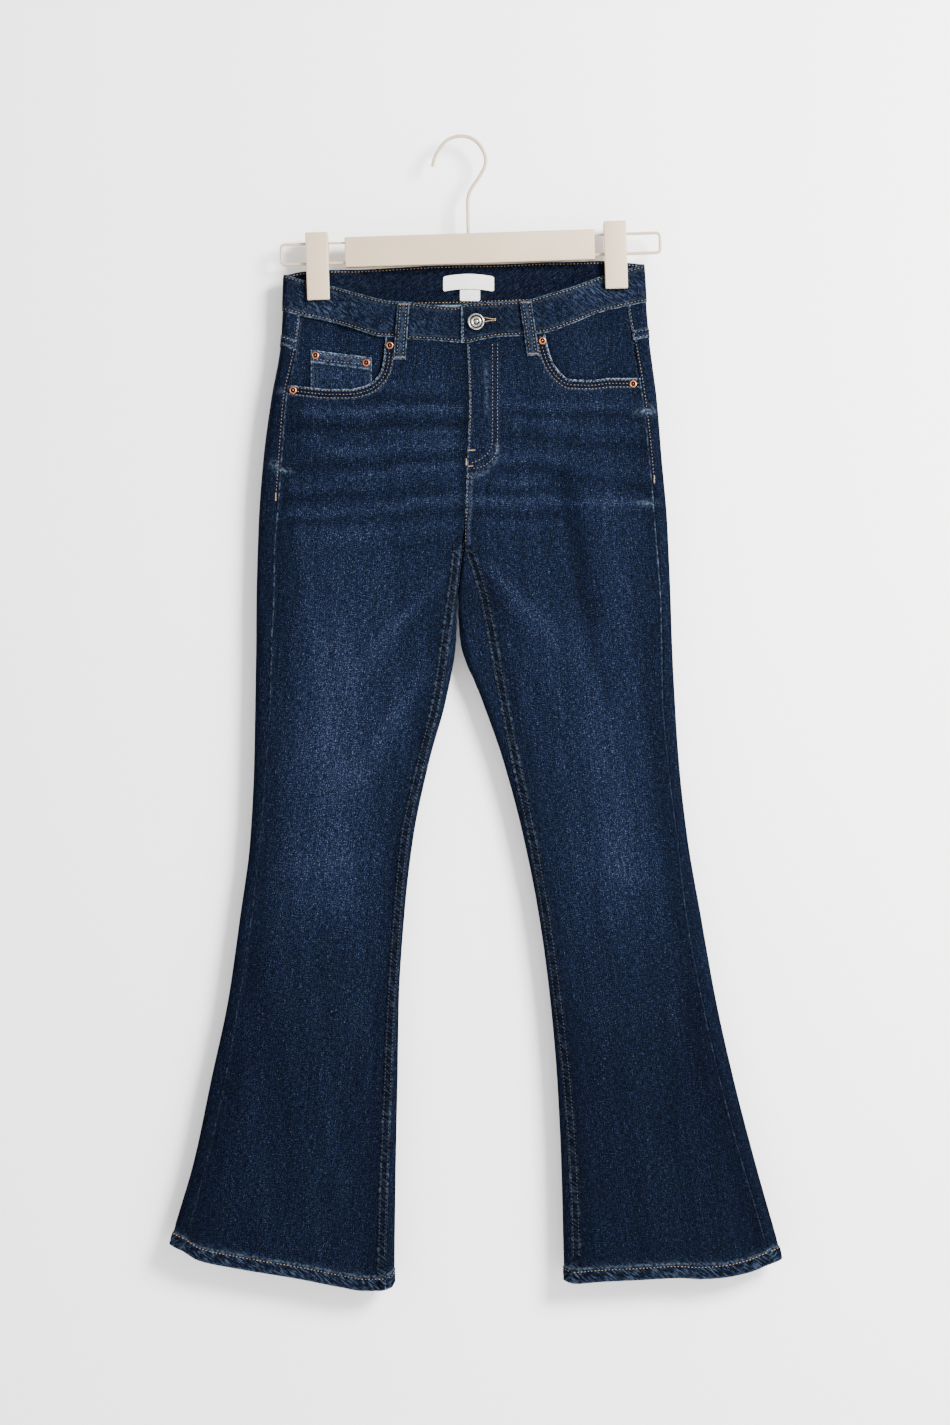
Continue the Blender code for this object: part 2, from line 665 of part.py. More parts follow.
FRONT_COLUMNS = [(0, SEAM), (0.09, 0), (0.18, 0), (0.29, 0), (0.4, 0), (0.48, 0), (0.53, 0), (0.553, 0), (0.6, 0),
                 (0.7, 0), (1, -FLY_WIDE - 3), (1, -FLY_WIDE), (1, -BAND_WIDE - STEP), (1, -BAND_WIDE), (1, -SEAM)]
BACK_COLUMNS = [(0, SEAM), (0.35, 0), (0.7, 0), (1, 0), (1.04, 0), (1.1, 0), (1.2, 0), (1.32, 0), (1.46, 0),
                (1.6, 0), (1.74, 0), (1.87, 0), (1.96, 0), (2, 0), (2.3, 0), (2.6, 0), (2.8, 0), (3, -SEAM)]


def row_heights(levels, top, foot):
    """The z of each row, eased from a panel's own top edge to its own hem."""
    heights = [z + (top - levels[0]) * max(0.0, 1 - (levels[0] - z) / TOP_EASE) ** 2 for z in levels]
    lift = foot - HEM_LEVEL
    heights = [z + lift * max(0.0, 1 - (z - HEM_LEVEL) / HEM_EASE) ** 2 for z in heights]
    return heights + [foot + HEM_TALL + STEP, foot + HEM_TALL, foot]


def hem_edge(side):
    rows = HEM_RIGHT if side == "right" else HEM_LEFT

    def edge(x, face):
        wide = (x - rows[0][0]) / (rows[-1][0] - rows[0][0])
        lift = HEM_BACK_LIFT * math.sin(math.pi * min(max(wide, 0), 1)) if face == "back" else 0
        return float(through(rows, x)) + lift

    return edge


def front_top(side):
    scoop = SCOOP_RIGHT if side == "right" else SCOOP_LEFT

    def edge(x, face):
        seam = float(through(WAIST_SEAM_FRONT, x))
        inside = x < scoop[-1][0] if side == "right" else x > scoop[0][0]
        return (min(seam, float(through(scoop, x))) if inside else seam) - SEAM

    return edge


def yoke_seam(x, face):
    return float(through(YOKE_FRONT if face == "front" else YOKE_BACK, x))


def waist_seam(x, face):
    return float(through(WAIST_SEAM_FRONT if face == "front" else WAIST_SEAM_BACK, x))


def waist_top(x, face):
    return float(through(WAIST_TOP_FRONT if face == "front" else WAIST_TOP_BACK, x))


def hem_raise(sheet_edge, points, z):
    foot = np.array([[sheet_edge(x, "front") for x in row] for row in points[..., 0]])
    return HEM_RAISE * (1 - smooth(HEM_TALL, HEM_TALL + STEP, z - foot - 0.1))


def make_front(side, sheet):
    hem, top = hem_edge(side), front_top(side)

    def heights(knot, inset):
        return row_heights(FRONT_ROWS, height_on(sheet, knot, inset, top), height_on(sheet, knot, inset, hem))

    def raised(points, z, share):
        from_edge = (1 - share) * np.interp(z, sheet["levels"], sheet["lengths"])
        band = BAND_RAISE * (from_edge < BAND_WIDE + 0.1) * smooth(CROTCH + 4, CROTCH - 8, z)
        fly = 0.0
        if side == "left":
            fly = FLY_RAISE * (from_edge < FLY_WIDE + 0.1) * smooth(FLY_END, FLY_END + 14, z)
        return np.maximum(np.maximum(band, fly), hem_raise(hem, points, z))

    return add_panel("front_" + side, sheet, FRONT_COLUMNS, heights, raised)


def make_back(side, sheet):
    hem = hem_edge(side)

    def heights(knot, inset):
        top = height_on(sheet, knot, inset, yoke_seam) - SEAM
        return row_heights(BACK_ROWS, top, height_on(sheet, knot, inset, hem))

    def raised(points, z, share):
        return hem_raise(hem, points, z)

    return add_panel("back_" + side, sheet, BACK_COLUMNS, heights, raised)


def make_yoke(side, sheet):
    columns = [c for c in BACK_COLUMNS if c[0] not in (2.3, 2.8)]

    def heights(knot, inset):
        high = height_on(sheet, knot, inset, waist_seam) - SEAM
        low = height_on(sheet, knot, inset, yoke_seam) + SEAM
        return [high + (low - high) * share for share in (0, 0.35, 0.7, 1)]

    def raised(points, z, share):
        return 0 * z

    return add_panel("yoke_" + side, sheet, columns, heights, raised)


def make_waistband(sheet):
    knots = [0, 0.02, 0.06, 0.1, 0.11, 0.125, 0.16, 0.24, 0.34, 0.46, 0.58, 0.68, 0.78, 0.86, 0.92, 0.96, 1,
             1.02, 1.05, 1.1, 1.16, 1.24, 1.32, 1.4, 1.5, 1.6, 1.68, 1.76, 1.84, 1.9, 1.95, 1.98,
             2, 2.04, 2.08, 2.14, 2.22, 2.32, 2.42, 2.54, 2.66, 2.76, 2.84, 2.92, 3]
    z, points, normals = [], [], []
    for knot in knots:
        low = height_on(sheet, knot, 0, waist_seam) + SEAM
        high = height_on(sheet, knot, 0, waist_top)
        heights = np.array([high, (high + low) / 2, low])
        p, n = read_sheet(sheet, share_at(sheet, knot, 0, heights), heights)
        z.append(heights)
        points.append(p)
        normals.append(n)
    points, normals = np.array(points).transpose(1, 0, 2), np.array(normals).transpose(1, 0, 2)
    on_top = np.array([knot < 1 for knot in knots])
    lift = LAP * (1 - smooth(*LAP_FADE, points[..., 0])) * on_top
    outside = points + normals * (lift + WAISTBAND_PROUD)[..., None]
    inside = points + normals * (lift + WAISTBAND_PROUD - WAISTBAND_THICK)[..., None]
    return add_wall("waistband", outside, inside, "denim", lies_on=True)


def make_facing(side):
    sign = -1 if side == "right" else 1
    across = np.array([0, 0.12, 0.24, 0.36, 0.48, 0.6, 0.7, 0.8, 0.9, 1])
    x, z = [], []
    for drop in (0, 0.15, 0.3, 0.45, 0.6, 0.75, 0.88, 1):
        corner = float(through(WAIST_SEAM_FRONT, sign * 168)) - GAP
        outer = float(leg_at(side, "side_seam", corner + (FACING_LOW - corner) * drop)) - sign * FACING_SIDE_GAP
        row = outer + (FACING_INNER[side] - outer) * across
        high = through(WAIST_SEAM_FRONT, row) - GAP
        x.append(row)
        z.append(high + (FACING_LOW - high) * drop)
    return add_patch("pocket_facing_" + side, "front", np.array(x), np.array(z),
                     -FACING_UNDER[side] - FACING_THICK, FACING_THICK, "denim_dark", under=True)


def make_coin_pocket():
    x = np.linspace(*COIN_SIDES, 6)
    top = through(COIN_TOP, x)
    down = np.array([0, 0.25, 0.5, 0.75, 1])[:, None]
    z = top + (COIN_LOW - top) * down
    return add_patch("coin_pocket", "front", np.broadcast_to(x, z.shape), z, -GAP - COIN_THICK, COIN_THICK,
                     under=True)


def make_back_pocket(side):
    sign = -1 if side == "right" else 1
    u = np.linspace(-1, 1, 13)  # from the side to the centre
    down = np.linspace(0, 1, 10)[:, None]
    half = BACK_POCKET_HALF[0] + (BACK_POCKET_HALF[1] - BACK_POCKET_HALF[0]) * down
    x = sign * (BACK_POCKET_X - u * half)
    top = BACK_POCKET_TOP[0] + (BACK_POCKET_TOP[1] - BACK_POCKET_TOP[0]) * (u + 1) / 2
    foot = top - BACK_POCKET_TALL - BACK_POCKET_POINT * (1 - abs(u))
    return add_patch("back_pocket_" + side, "back", x, top + (foot - top) * down, BACK_POCKET_GAP, DENIM)


def make_fly():
    def strip(name, xs, zs, out, thick, look):
        x, z = np.meshgrid(np.linspace(*xs, 6), np.linspace(*zs, 12))
        return add_patch(name, "front", x, z, out, thick, look, under=True)

    strip("zip", ZIP_X, ZIP_Z, -GAP - ZIP_TAPE, ZIP_TAPE, "zip")
    strip("fly_shield", SHIELD_X, SHIELD_Z, -2 * GAP - ZIP_TAPE - SHIELD_THICK, SHIELD_THICK, "denim_dark")


def make_belt_loop(name, face, x_top, x_foot, foot):
    x_at = np.linspace(-0.5, 0.5, 3) * LOOP_WIDE
    seam, top = (float(edge(x_top, face)) for edge in (waist_seam, waist_top))
    stations = [top - 0.6, top - 6, (top + seam) / 2 + 6, (top + seam) / 2 - 6, seam + 5, seam - 3, foot + 5, foot]
    x, z, out = [], [], []
    for height in stations:
        share = (height - top) / (foot - top)
        x.append(x_top + (x_foot - x_top) * share + x_at)
        z.append(np.full(3, height))
        clear = LOOP_GAP + LOOP_BULGE * math.sin(math.pi * min(share / 0.8, 1)) ** 0.7
        out.append(np.full(3, clear if height > foot + 5.5 else LOOP_GAP))
    return add_patch(name, face, np.array(x), np.array(z), np.array(out), LOOP_THICK)


def make_rivets():
    profile = [(0, 0), (RIVET_R, 0), (RIVET_R, 0.5), (RIVET_R * 0.82, 1.1), (RIVET_R * 0.5, 1.0),
               (RIVET_R * 0.36, RIVET_TALL), (0, RIVET_TALL + 0.1)]
    for name, (x, z) in RIVETS.items():
        on_coin = "coin" in name
        spot, normal = over("front", x, z, 0.12 if on_coin else GAP + 0.12, under=on_coin)
        add_turned(name, profile, spot, normal, "copper", 14)


def make_button():
    spot, normal = over("front", *BUTTON, GAP)
    r, tall = BUTTON_R, BUTTON_TALL
    profile = [(0, 0), (r * 0.4, 0), (r * 0.4, 0.9), (r * 0.93, 1.2), (r, 1.9), (r * 0.94, 2.9), (r * 0.7, tall - 0.9),
               (r * 0.4, tall - 0.2), (0, tall)]
    add_turned("button", profile, spot, normal, "nickel", 20)


def make_labels():
    size_out = -GAP - LABEL_THICK
    for name, ((x0, x1), (z0, z1)), out in (("label_size", LABEL_SIZE, size_out),
                                            ("label_main", LABEL_MAIN, size_out - GAP - LABEL_THICK)):
        x, z = np.meshgrid(np.linspace(x0, x1, 6), np.linspace(z0, z1, 4))
        add_patch(name, "back", x, z, out, LABEL_THICK, "label", under=True)


# ---------- the hanger ----------


def make_hanger():
    frame = bpy.data.objects.new("hanger_frame", None)
    bpy.context.scene.collection.objects.link(frame)
    frame.location = Vector((HANGER_AT[0], 0, HANGER_AT[1])) * MM
    frame.rotation_euler = (0, -HANGER_TILT, 0)
    bar = add_block("hanger_bar", (BAR_LONG, BAR_DEEP, BAR_TALL), (0, 0, 0), BAR_EDGE, "plastic", frame)
    path = smooth_path(HOOK_PATH, HOOK_STEP)
    foot_x, foot_z = HOOK_PATH[-1]
    bar_top = HANGER_AT[1] + BAR_TALL / 2 + (foot_x - HANGER_AT[0]) * math.tan(HANGER_TILT)
    end = (foot_x, 0.0, bar_top - HOOK_SINK + GAP)
    add_wire("hanger_hook", path + [end], HOOK_R, "wire")
    cut(bar, add_bore("hook_bore", HOOK_BORE, (foot_x, 0, bar_top - HOOK_SINK), (foot_x, 0, bar_top + 9), None))
    for side, sign in (("right", -1), ("left", 1)):
        make_rail(side, sign, bar, frame)
        make_clip(side, frame)


def make_rail(side, sign, bar, frame):
    start = sign * (BAR_LONG / 2 - RAIL_SINK + GAP)
    far = RAIL_END[side]
    half = RAIL_APART / 2
    corner = [(far - sign * RAIL_CORNER * (1 - math.sin(a)), half - RAIL_CORNER * (1 - math.cos(a)))
              for a in np.linspace(0, math.pi / 2, 5)]
    upper = [(start, half)] + [(sign * BAR_LONG / 2 + (far - sign * BAR_LONG / 2) * s, half) for s in (0, 0.5)]
    path = upper + corner
    path += [(x, -z) for x, z in reversed(path)]
    add_wire("hanger_rail_" + side, [(x, 0.0, z) for x, z in path], RAIL_R, "wire", frame)
    for up in (half, -half):
        name = "rail_bore_" + side + ("_up" if up > 0 else "_down")
        inner, outer = sign * (BAR_LONG / 2 - RAIL_SINK), sign * (BAR_LONG / 2 + 9)
        cut(bar, add_bore(name, RAIL_BORE, (inner, 0, up), (outer, 0, up), frame))


def make_clip(side, frame):
    x, z = CLIP_AT[side]
    deep = CLIP_MOUTH + 2 * CLIP_JAW
    clip = add_block("clip_" + side, (CLIP_WIDE, deep, CLIP_TALL), (x, 0, z), CLIP_EDGE, "plastic", frame)
    mouth_top = z + CLIP_TALL / 2 - CLIP_SOLID_DOWN[side]
    mouth_foot = z - CLIP_TALL / 2 - 9
    cut(clip, add_block("clip_mouth_" + side, (CLIP_WIDE + 18, CLIP_MOUTH, mouth_top - mouth_foot),
                        (x, 0, (mouth_top + mouth_foot) / 2), 0, "plastic", frame))
    for up in (RAIL_APART / 2, -RAIL_APART / 2):
        name = "clip_bore_" + side + ("_up" if up > 0 else "_down")
        cut(clip, add_bore(name, RAIL_BORE, (x - CLIP_WIDE, 0, up), (x + CLIP_WIDE, 0, up), frame))


def main():
    for old in list(bpy.data.objects):
        bpy.data.objects.remove(old)
    make_waistband(sheet_of(waist_line, -110, -230, 1))
    for side in ("right", "left"):
        front = sheet_of(lambda z, side=side: front_line(side, z), -120, -1200, -1)
        back = sheet_of(lambda z, side=side: back_line(side, z), -120, -1200, 1)
        make_front(side, front)
        make_back(side, back)
        make_yoke(side, back)
        make_facing(side)
        make_back_pocket(side)
    make_coin_pocket()
    make_fly()
    for name, place in LOOPS.items():
        make_belt_loop(name, *place)
    make_rivets()
    make_button()
    make_labels()
    make_hanger()


main()
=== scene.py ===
import json
import math

import bpy
import numpy as np
from mathutils import Matrix, Vector
from mathutils.bvhtree import BVHTree

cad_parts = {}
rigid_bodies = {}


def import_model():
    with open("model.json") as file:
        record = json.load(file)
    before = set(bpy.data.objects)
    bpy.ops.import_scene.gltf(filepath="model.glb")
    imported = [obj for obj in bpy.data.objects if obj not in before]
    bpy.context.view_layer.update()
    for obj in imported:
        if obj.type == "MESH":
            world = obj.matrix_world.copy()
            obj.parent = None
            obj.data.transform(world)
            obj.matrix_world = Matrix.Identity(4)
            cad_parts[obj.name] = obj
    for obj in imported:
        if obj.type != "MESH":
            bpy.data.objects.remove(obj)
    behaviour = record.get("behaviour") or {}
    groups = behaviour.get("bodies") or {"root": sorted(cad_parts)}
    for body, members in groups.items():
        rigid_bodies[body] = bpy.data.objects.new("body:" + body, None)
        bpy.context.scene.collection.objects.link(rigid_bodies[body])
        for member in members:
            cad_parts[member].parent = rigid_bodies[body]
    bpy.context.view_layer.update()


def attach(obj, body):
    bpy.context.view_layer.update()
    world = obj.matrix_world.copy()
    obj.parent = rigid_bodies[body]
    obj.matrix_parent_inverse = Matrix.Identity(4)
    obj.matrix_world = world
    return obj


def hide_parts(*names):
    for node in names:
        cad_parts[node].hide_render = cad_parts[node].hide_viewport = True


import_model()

# Bootcut jeans on a clip hanger. All sizes below are in millimetres, -Y is the front, +X the wearer's left.
mm = 0.001
print("frame loaded")

# ---- camera, light and stage ----

camera = {"x": 11.8, "z": -591.7, "away": 3000.0, "lens": 73.6}
stage = {"wallY": 25.0, "floorZ": -1450.0, "wall": "F4F3F4", "floor": "E4E2E0", "sky": "F3F5F8",
         "skyStrength": 0.97}
lights = {
    # name: (watts, size, place, aim, colour)
    "key": (300.0, 0.9, (1550, -1950, 600), (60, 0, -620), "FFFDFC"),
    "fill": (22.0, 2.2, (-2300, -2300, 100), (0, 0, -600), "FBFBFF"),
    "wash": (16.0, 0.7, (1250, -800, -500), (800, 25, -650), "FFFFFF"),
    "back": (190.0, 1.6, (-1300, 2300, 700), (0, 0, -600), "FFFFFF"),
}


def colour(hexCode):
    parts = [int(hexCode[i:i + 2], 16) / 255 for i in (0, 2, 4)]
    return (*[((c + 0.055) / 1.055) ** 2.4 if c > 0.04045 else c / 12.92 for c in parts], 1)


def fill(tree, node, settings):  # sockets are linked, all else is set
    for key, value in settings.items():
        if isinstance(value, bpy.types.NodeSocket):
            tree.links.new(value, node.inputs[key])
        elif isinstance(key, int) or key in node.inputs:
            node.inputs[key].default_value = value
        else:
            setattr(node, key, value)


def addNode(tree, kind, settings=None, out=0):  # gives one output of the new node
    node = tree.nodes.new("ShaderNode" + kind)
    fill(tree, node, settings or {})
    return node.outputs[out]


def addMath(tree, operation, *values, clamp=False):
    return addNode(tree, "Math", {"operation": operation, "use_clamp": clamp} | dict(enumerate(values)))


def addNoise(tree, place, scale, detail, dimensions="3D", rough=0.5):
    return addNode(tree, "TexNoise", {"noise_dimensions": dimensions, "Scale": scale, "Detail": detail,
                                      "Roughness": rough, "Vector": place})


def addWave(tree, place, spacing, distortion, settings):
    turn = 0.314  # a wave texture at this scale repeats about once a unit
    settings = {"Scale": turn / spacing, "Distortion": distortion, "Vector": place} | settings
    return addNode(tree, "TexWave", settings, "Fac")


def addRange(tree, value, *limits):
    return addNode(tree, "MapRange", {0: value} | dict(enumerate(limits, 1)))


def addMix(tree, factor, first, second, kind="MIX"):
    settings = {"data_type": "RGBA", "blend_type": kind, 0: factor, 6: first, 7: second}
    return addNode(tree, "Mix", settings, 2)


def addBump(tree, height, strength, distance):
    return addNode(tree, "Bump", {"Strength": strength, "Distance": distance * mm, "Height": height})


def addRamp(tree, factor, stops):
    ramp = addNode(tree, "ValToRGB", {0: factor})
    elements = ramp.node.color_ramp.elements
    while len(elements) < len(stops):
        elements.new(0.5)
    for element, (position, hexCode) in zip(elements, stops):
        element.position = position
        element.color = colour(hexCode)
    return ramp


def newMaterial(name, cloth=False):  # with the place that its textures go by
    material = bpy.data.materials.new(name)
    material.use_nodes = True
    tree = material.node_tree
    if cloth:
        return material, tree, addNode(tree, "UVMap", {"uv_map": "cloth"})
    return material, tree, addNode(tree, "TexCoord", out="Object")


def finishMaterial(material, hexCode, settings, sockets):
    tree = material.node_tree
    shader = tree.nodes["Principled BSDF"]
    fill(tree, shader, {"Base Color": colour(hexCode)} | settings)
    fill(tree, shader, sockets)
    return material


def deselect():
    bpy.ops.object.select_all(action="DESELECT")


def addPlane(name, size, place, tilt, paint):
    deselect()
    bpy.ops.mesh.primitive_plane_add(size=size, location=Vector(place) * mm, rotation=(tilt, 0, 0))
    plane = bpy.context.object
    plane.name = name
    plane.data.materials.append(paint)
    return plane


def makeStage():
    data = bpy.data.cameras.new("camera")
    data.lens = camera["lens"]
    data.clip_end = 30
    shot = bpy.data.objects.new("camera", data)
    shot.location = Vector((camera["x"], -camera["away"], camera["z"])) * mm
    shot.rotation_euler = (math.pi / 2, 0, 0)
    bpy.context.scene.collection.objects.link(shot)
    bpy.context.scene.camera = shot
    for name, (watts, size, place, aim, hexCode) in lights.items():
        data = bpy.data.lights.new(name, "AREA")
        data.energy, data.size, data.color = watts, size, colour(hexCode)[:3]
        lamp = bpy.data.objects.new(name, data)
        lamp.location = Vector(place) * mm
        lamp.rotation_euler = (Vector(aim) - Vector(place)).to_track_quat("-Z", "Y").to_euler()
        bpy.context.scene.collection.objects.link(lamp)

    world = bpy.data.worlds.new("studio")
    bpy.context.scene.world = world
    world.use_nodes = True
    sky = {"Color": colour(stage["sky"]), "Strength": stage["skyStrength"]}
    fill(world.node_tree, world.node_tree.nodes["Background"], sky)

    # the wall is only there for a camera in front of it, so that it never hides or shades the back
    paint, tree, spot = newMaterial("mattWallPaint")
    roller = addBump(tree, addNoise(tree, spot, 160.0, 3.0), 0.12, 0.4)
    finishMaterial(paint, stage["wall"], {"Roughness": 0.95}, {"Normal": roller})
    behind, clear = addNode(tree, "NewGeometry", out="Backfacing"), addNode(tree, "BsdfTransparent")
    both = addNode(tree, "MixShader", {0: behind, 1: tree.nodes["Principled BSDF"].outputs[0], 2: clear})
    tree.links.new(both, tree.nodes["Material Output"].inputs["Surface"])
    wall = addPlane("backdrop_wall", 6, (0, stage["wallY"], 0), math.pi / 2, paint)
    wall.visible_shadow = wall.visible_diffuse = wall.visible_glossy = wall.visible_transmission = False

    concrete, tree, spot = newMaterial("paleFloorPaint")
    cloud = addRamp(tree, addNoise(tree, spot, 1.2, 2.0), [(0.3, "DFDDDB"), (0.7, "E6E4E2")])
    finishMaterial(concrete, stage["floor"], {"Roughness": 0.8}, {"Base Color": cloud})
    floor = addPlane("studio_floor", 14, (0, 0, stage["floorZ"]), 0, concrete)


makeStage()
print("stage made")

# ---- materials ----

denimFinish = {
    # ring-spun indigo warp over a white weft, rinsed: darkest where unworn and where shade is painted in,
    # pale where it is rubbed
    "stops": [(0.0, "010207"), (0.26, "030711"), (0.5, "0B1222"), (0.74, "1D2539"), (1.0, "454E63")],
    "rubbed": "66788C",
    "roped": "3E4C62",
    "warpMm": (1.1, 5.0),
    "weftMm": (5.0, 1.1),
    "grainMm": 0.95,
    "slubMm": (2.4, 55.0),
    "twillMm": 1.5,  # the real ridges are 0.9 apart, drawn coarser so that they show
    "relief": 0.22,
    "level": 1.195,  # what the layers add up to in the middle of the stops
}
# the wrong side shows the white weft between blue specks
wrongSideFinish = dict(denimFinish, rubbed="9CA8AC", weftMm=(12.0, 0.8), relief=0.18, stops=[
    (0.0, "222E38"), (0.3, "36454D"), (0.5, "4E5E63"), (0.75, "6C7B7F"), (1.0, "98A4A6")])
zipTapeFinish = dict(denimFinish, warpMm=(0.8, 0.8), weftMm=(0.8, 3.0), level=1.345)


def denimMaterial(name, finish):
    material, tree, cloth = newMaterial(name, cloth=True)
    # the first channel fades the cloth and also darkens it as painted shade in creases, stitch grooves and
    # folded edges; the second is mostly rubbed edges, with painted highlights on the inseam puckers and the
    # zip ridge
    wearAndShade = addNode(tree, "Attribute", {"attribute_name": "wearAndShade"})
    total, rub, rope = addNode(tree, "SeparateColor", {0: wearAndShade}).node.outputs
    layers = [  # size across and along, how much it counts, detail
        (finish["warpMm"], 0.55, 1.0), (finish["weftMm"], 0.5, 1.0),
        ((finish["grainMm"], finish["grainMm"]), 0.95, 0.0), (finish["slubMm"], 0.24, 2.0)]
    relief = 0.0
    for i, ((across, along), weight, detail) in enumerate(layers):
        place = addNode(tree, "Mapping", {"Scale": (1 / across, 1 / along, 1), "Location": (7.3 * i, 0, 0),
                                          "Vector": cloth})
        noise = addNoise(tree, place, 1.0, detail, "2D")
        total = addMath(tree, "MULTIPLY_ADD", noise, weight, total)
        if i < 3:  # yarns and grain stand up, the slubs only show as colour
            relief = addMath(tree, "MULTIPLY_ADD", noise, weight, relief)
    turned = addNode(tree, "Mapping", {"Rotation": (0, 0, math.radians(-27)), "Vector": cloth})
    twill = addWave(tree, turned, finish["twillMm"], 1.2, {"Detail": 1.0, "Detail Scale": 1.4})
    total = addMath(tree, "MULTIPLY_ADD", twill, 0.14, total)
    relief = addMath(tree, "MULTIPLY_ADD", twill, 0.45, relief)
    base = addRamp(tree, addMath(tree, "SUBTRACT", total, finish["level"]), finish["stops"])

    # rubbed edges come and go along a seam
    patchy = addRange(tree, addNoise(tree, cloth, 0.3, 4.0, "2D", 0.65), 0.42, 0.63, 0.06, 1.35)
    pale = addMath(tree, "MULTIPLY", rub, patchy, clamp=True)
    rubbed = addMix(tree, pale, base, colour(finish["rubbed"]))
    # slanted pale streaks where a hem or felled seam puckers
    slanted = addNode(tree, "Mapping", {"vector_type": "TEXTURE", "Scale": (1.7, 9.0, 1),
                                        "Rotation": (0, 0, math.radians(54)), "Vector": cloth})
    crest = addRange(tree, addNoise(tree, slanted, 1.0, 2.0, "2D"), 0.5, 0.7, 0.0, 0.62)
    puckered = addMath(tree, "MULTIPLY", rope, crest, clamp=True)
    final = addMix(tree, puckered, rubbed, colour(finish["roped"]))
    return finishMaterial(material, finish["stops"][2][1], {
        "Roughness": 0.86, "Specular IOR Level": 0.03, "IOR": 1.46}, {
        "Base Color": final, "Normal": addBump(tree, relief, 0.75, finish["relief"])})


def threadMaterial(name, hexCode):
    # spun polyester core thread, two plies: a soft gloss and slightly uneven dye
    material, tree, spot = newMaterial(name)
    dye = addRange(tree, addNoise(tree, spot, 190.0, 2.0), 0.3, 0.7, 0.62, 1.25)
    ply = addWave(tree, spot, 0.5 * mm, 1.0, {"bands_direction": "DIAGONAL"})
    settings = {"Roughness": 0.55, "Sheen Weight": 0.2, "Specular IOR Level": 0.35}
    return finishMaterial(material, hexCode, settings, {
        "Base Color": addMix(tree, 1.0, colour(hexCode), dye, "MULTIPLY"),
        "Normal": addBump(tree, ply, 0.4, 0.1)})


def metalMaterial(name, hexCode, tarnish, roughness, patchMm):
    # pressed and plated sheet metal, with tarnish left in patches after the wash
    material, tree, spot = newMaterial(name)
    patch = addNoise(tree, spot, 1 / (patchMm * mm), 3.0)
    return finishMaterial(material, hexCode, {"Metallic": 1.0, "Roughness": roughness}, {
        "Base Color": addRamp(tree, patch, [(0.36, tarnish), (0.6, hexCode)]),
        "Roughness": addRange(tree, patch, 0.3, 0.7, roughness + 0.16, roughness - 0.06)})


def plasticMaterial(name, hexCode, roughness, grainMm, strength):
    # opaque moulded or sprayed surface with a fine even texture
    material, tree, spot = newMaterial(name)
    flow = addRange(tree, addNoise(tree, spot, 22.0, 3.0), 0.3, 0.7, 0.955, 1.03)
    grain = addNoise(tree, spot, 1 / (grainMm * mm), 2.0)
    settings = {"Roughness": roughness, "IOR": 1.5, "Specular IOR Level": 0.4}
    return finishMaterial(material, hexCode, settings, {
        "Base Color": addMix(tree, 1.0, colour(hexCode), flow, "MULTIPLY"),
        "Normal": addBump(tree, grain, strength, 0.2)})


def satinTapeMaterial(name, hexCode, shade):
    # white polyester satin ribbon: fine ribs across it
    material, tree, cloth = newMaterial(name, cloth=True)
    ribs = addWave(tree, cloth, 0.7, 0.4, {"bands_direction": "Y"})
    settings = {"Roughness": 0.5, "Sheen Weight": 0.3, "Specular IOR Level": 0.4}
    return finishMaterial(material, hexCode, settings, {
        "Base Color": addRamp(tree, ribs, [(0.0, shade), (1.0, hexCode)]),
        "Normal": addBump(tree, ribs, 0.3, 0.1)})


looks = {
    "denim": denimMaterial("indigoTwillDenim", denimFinish),
    "wrongSide": denimMaterial("denimWrongSide", wrongSideFinish),
    "tan": threadMaterial("tanCoreThread", "5F5142"),
    "gold": threadMaterial("goldCoreThread", "856C46"),
    "navy": threadMaterial("navyCoreThread", "161C2A"),
    "brown": threadMaterial("darkBrownCoreThread", "14151B"),
    "copper": metalMaterial("antiqueCopper", "B87856", "6A3B2A", 0.34, 1.1),
    "nickel": metalMaterial("polishedNickel", "D2D0CC", "5E5B58", 0.22, 2.2),
    # the dark copies fill the rivets' hollows and the button's grooves: partly oxide, partly painted shade
    "copperDark": metalMaterial("copperOxideAndShade", "2C1710", "140A07", 0.6, 0.8),
    "nickelDark": metalMaterial("nickelOxideAndShade", "33322F", "1A1918", 0.45, 1.0),
    "brass": metalMaterial("zipBrass", "B99A5B", "7D6536", 0.38, 1.0),
    "tape": denimMaterial("navyZipTape", zipTapeFinish),
    "label": satinTapeMaterial("wovenSatinTape", "D6D5D3", "C4C3C1"),
    "plastic": plasticMaterial("mouldedPolystyrene", "AE9C83", 0.42, 0.5, 0.16),
    "wire": plasticMaterial("powderCoatedWire", "AC9B83", 0.38, 0.9, 0.3),
}
print("materials made")

# ---- the form of the jeans: the same tables as the solids ----

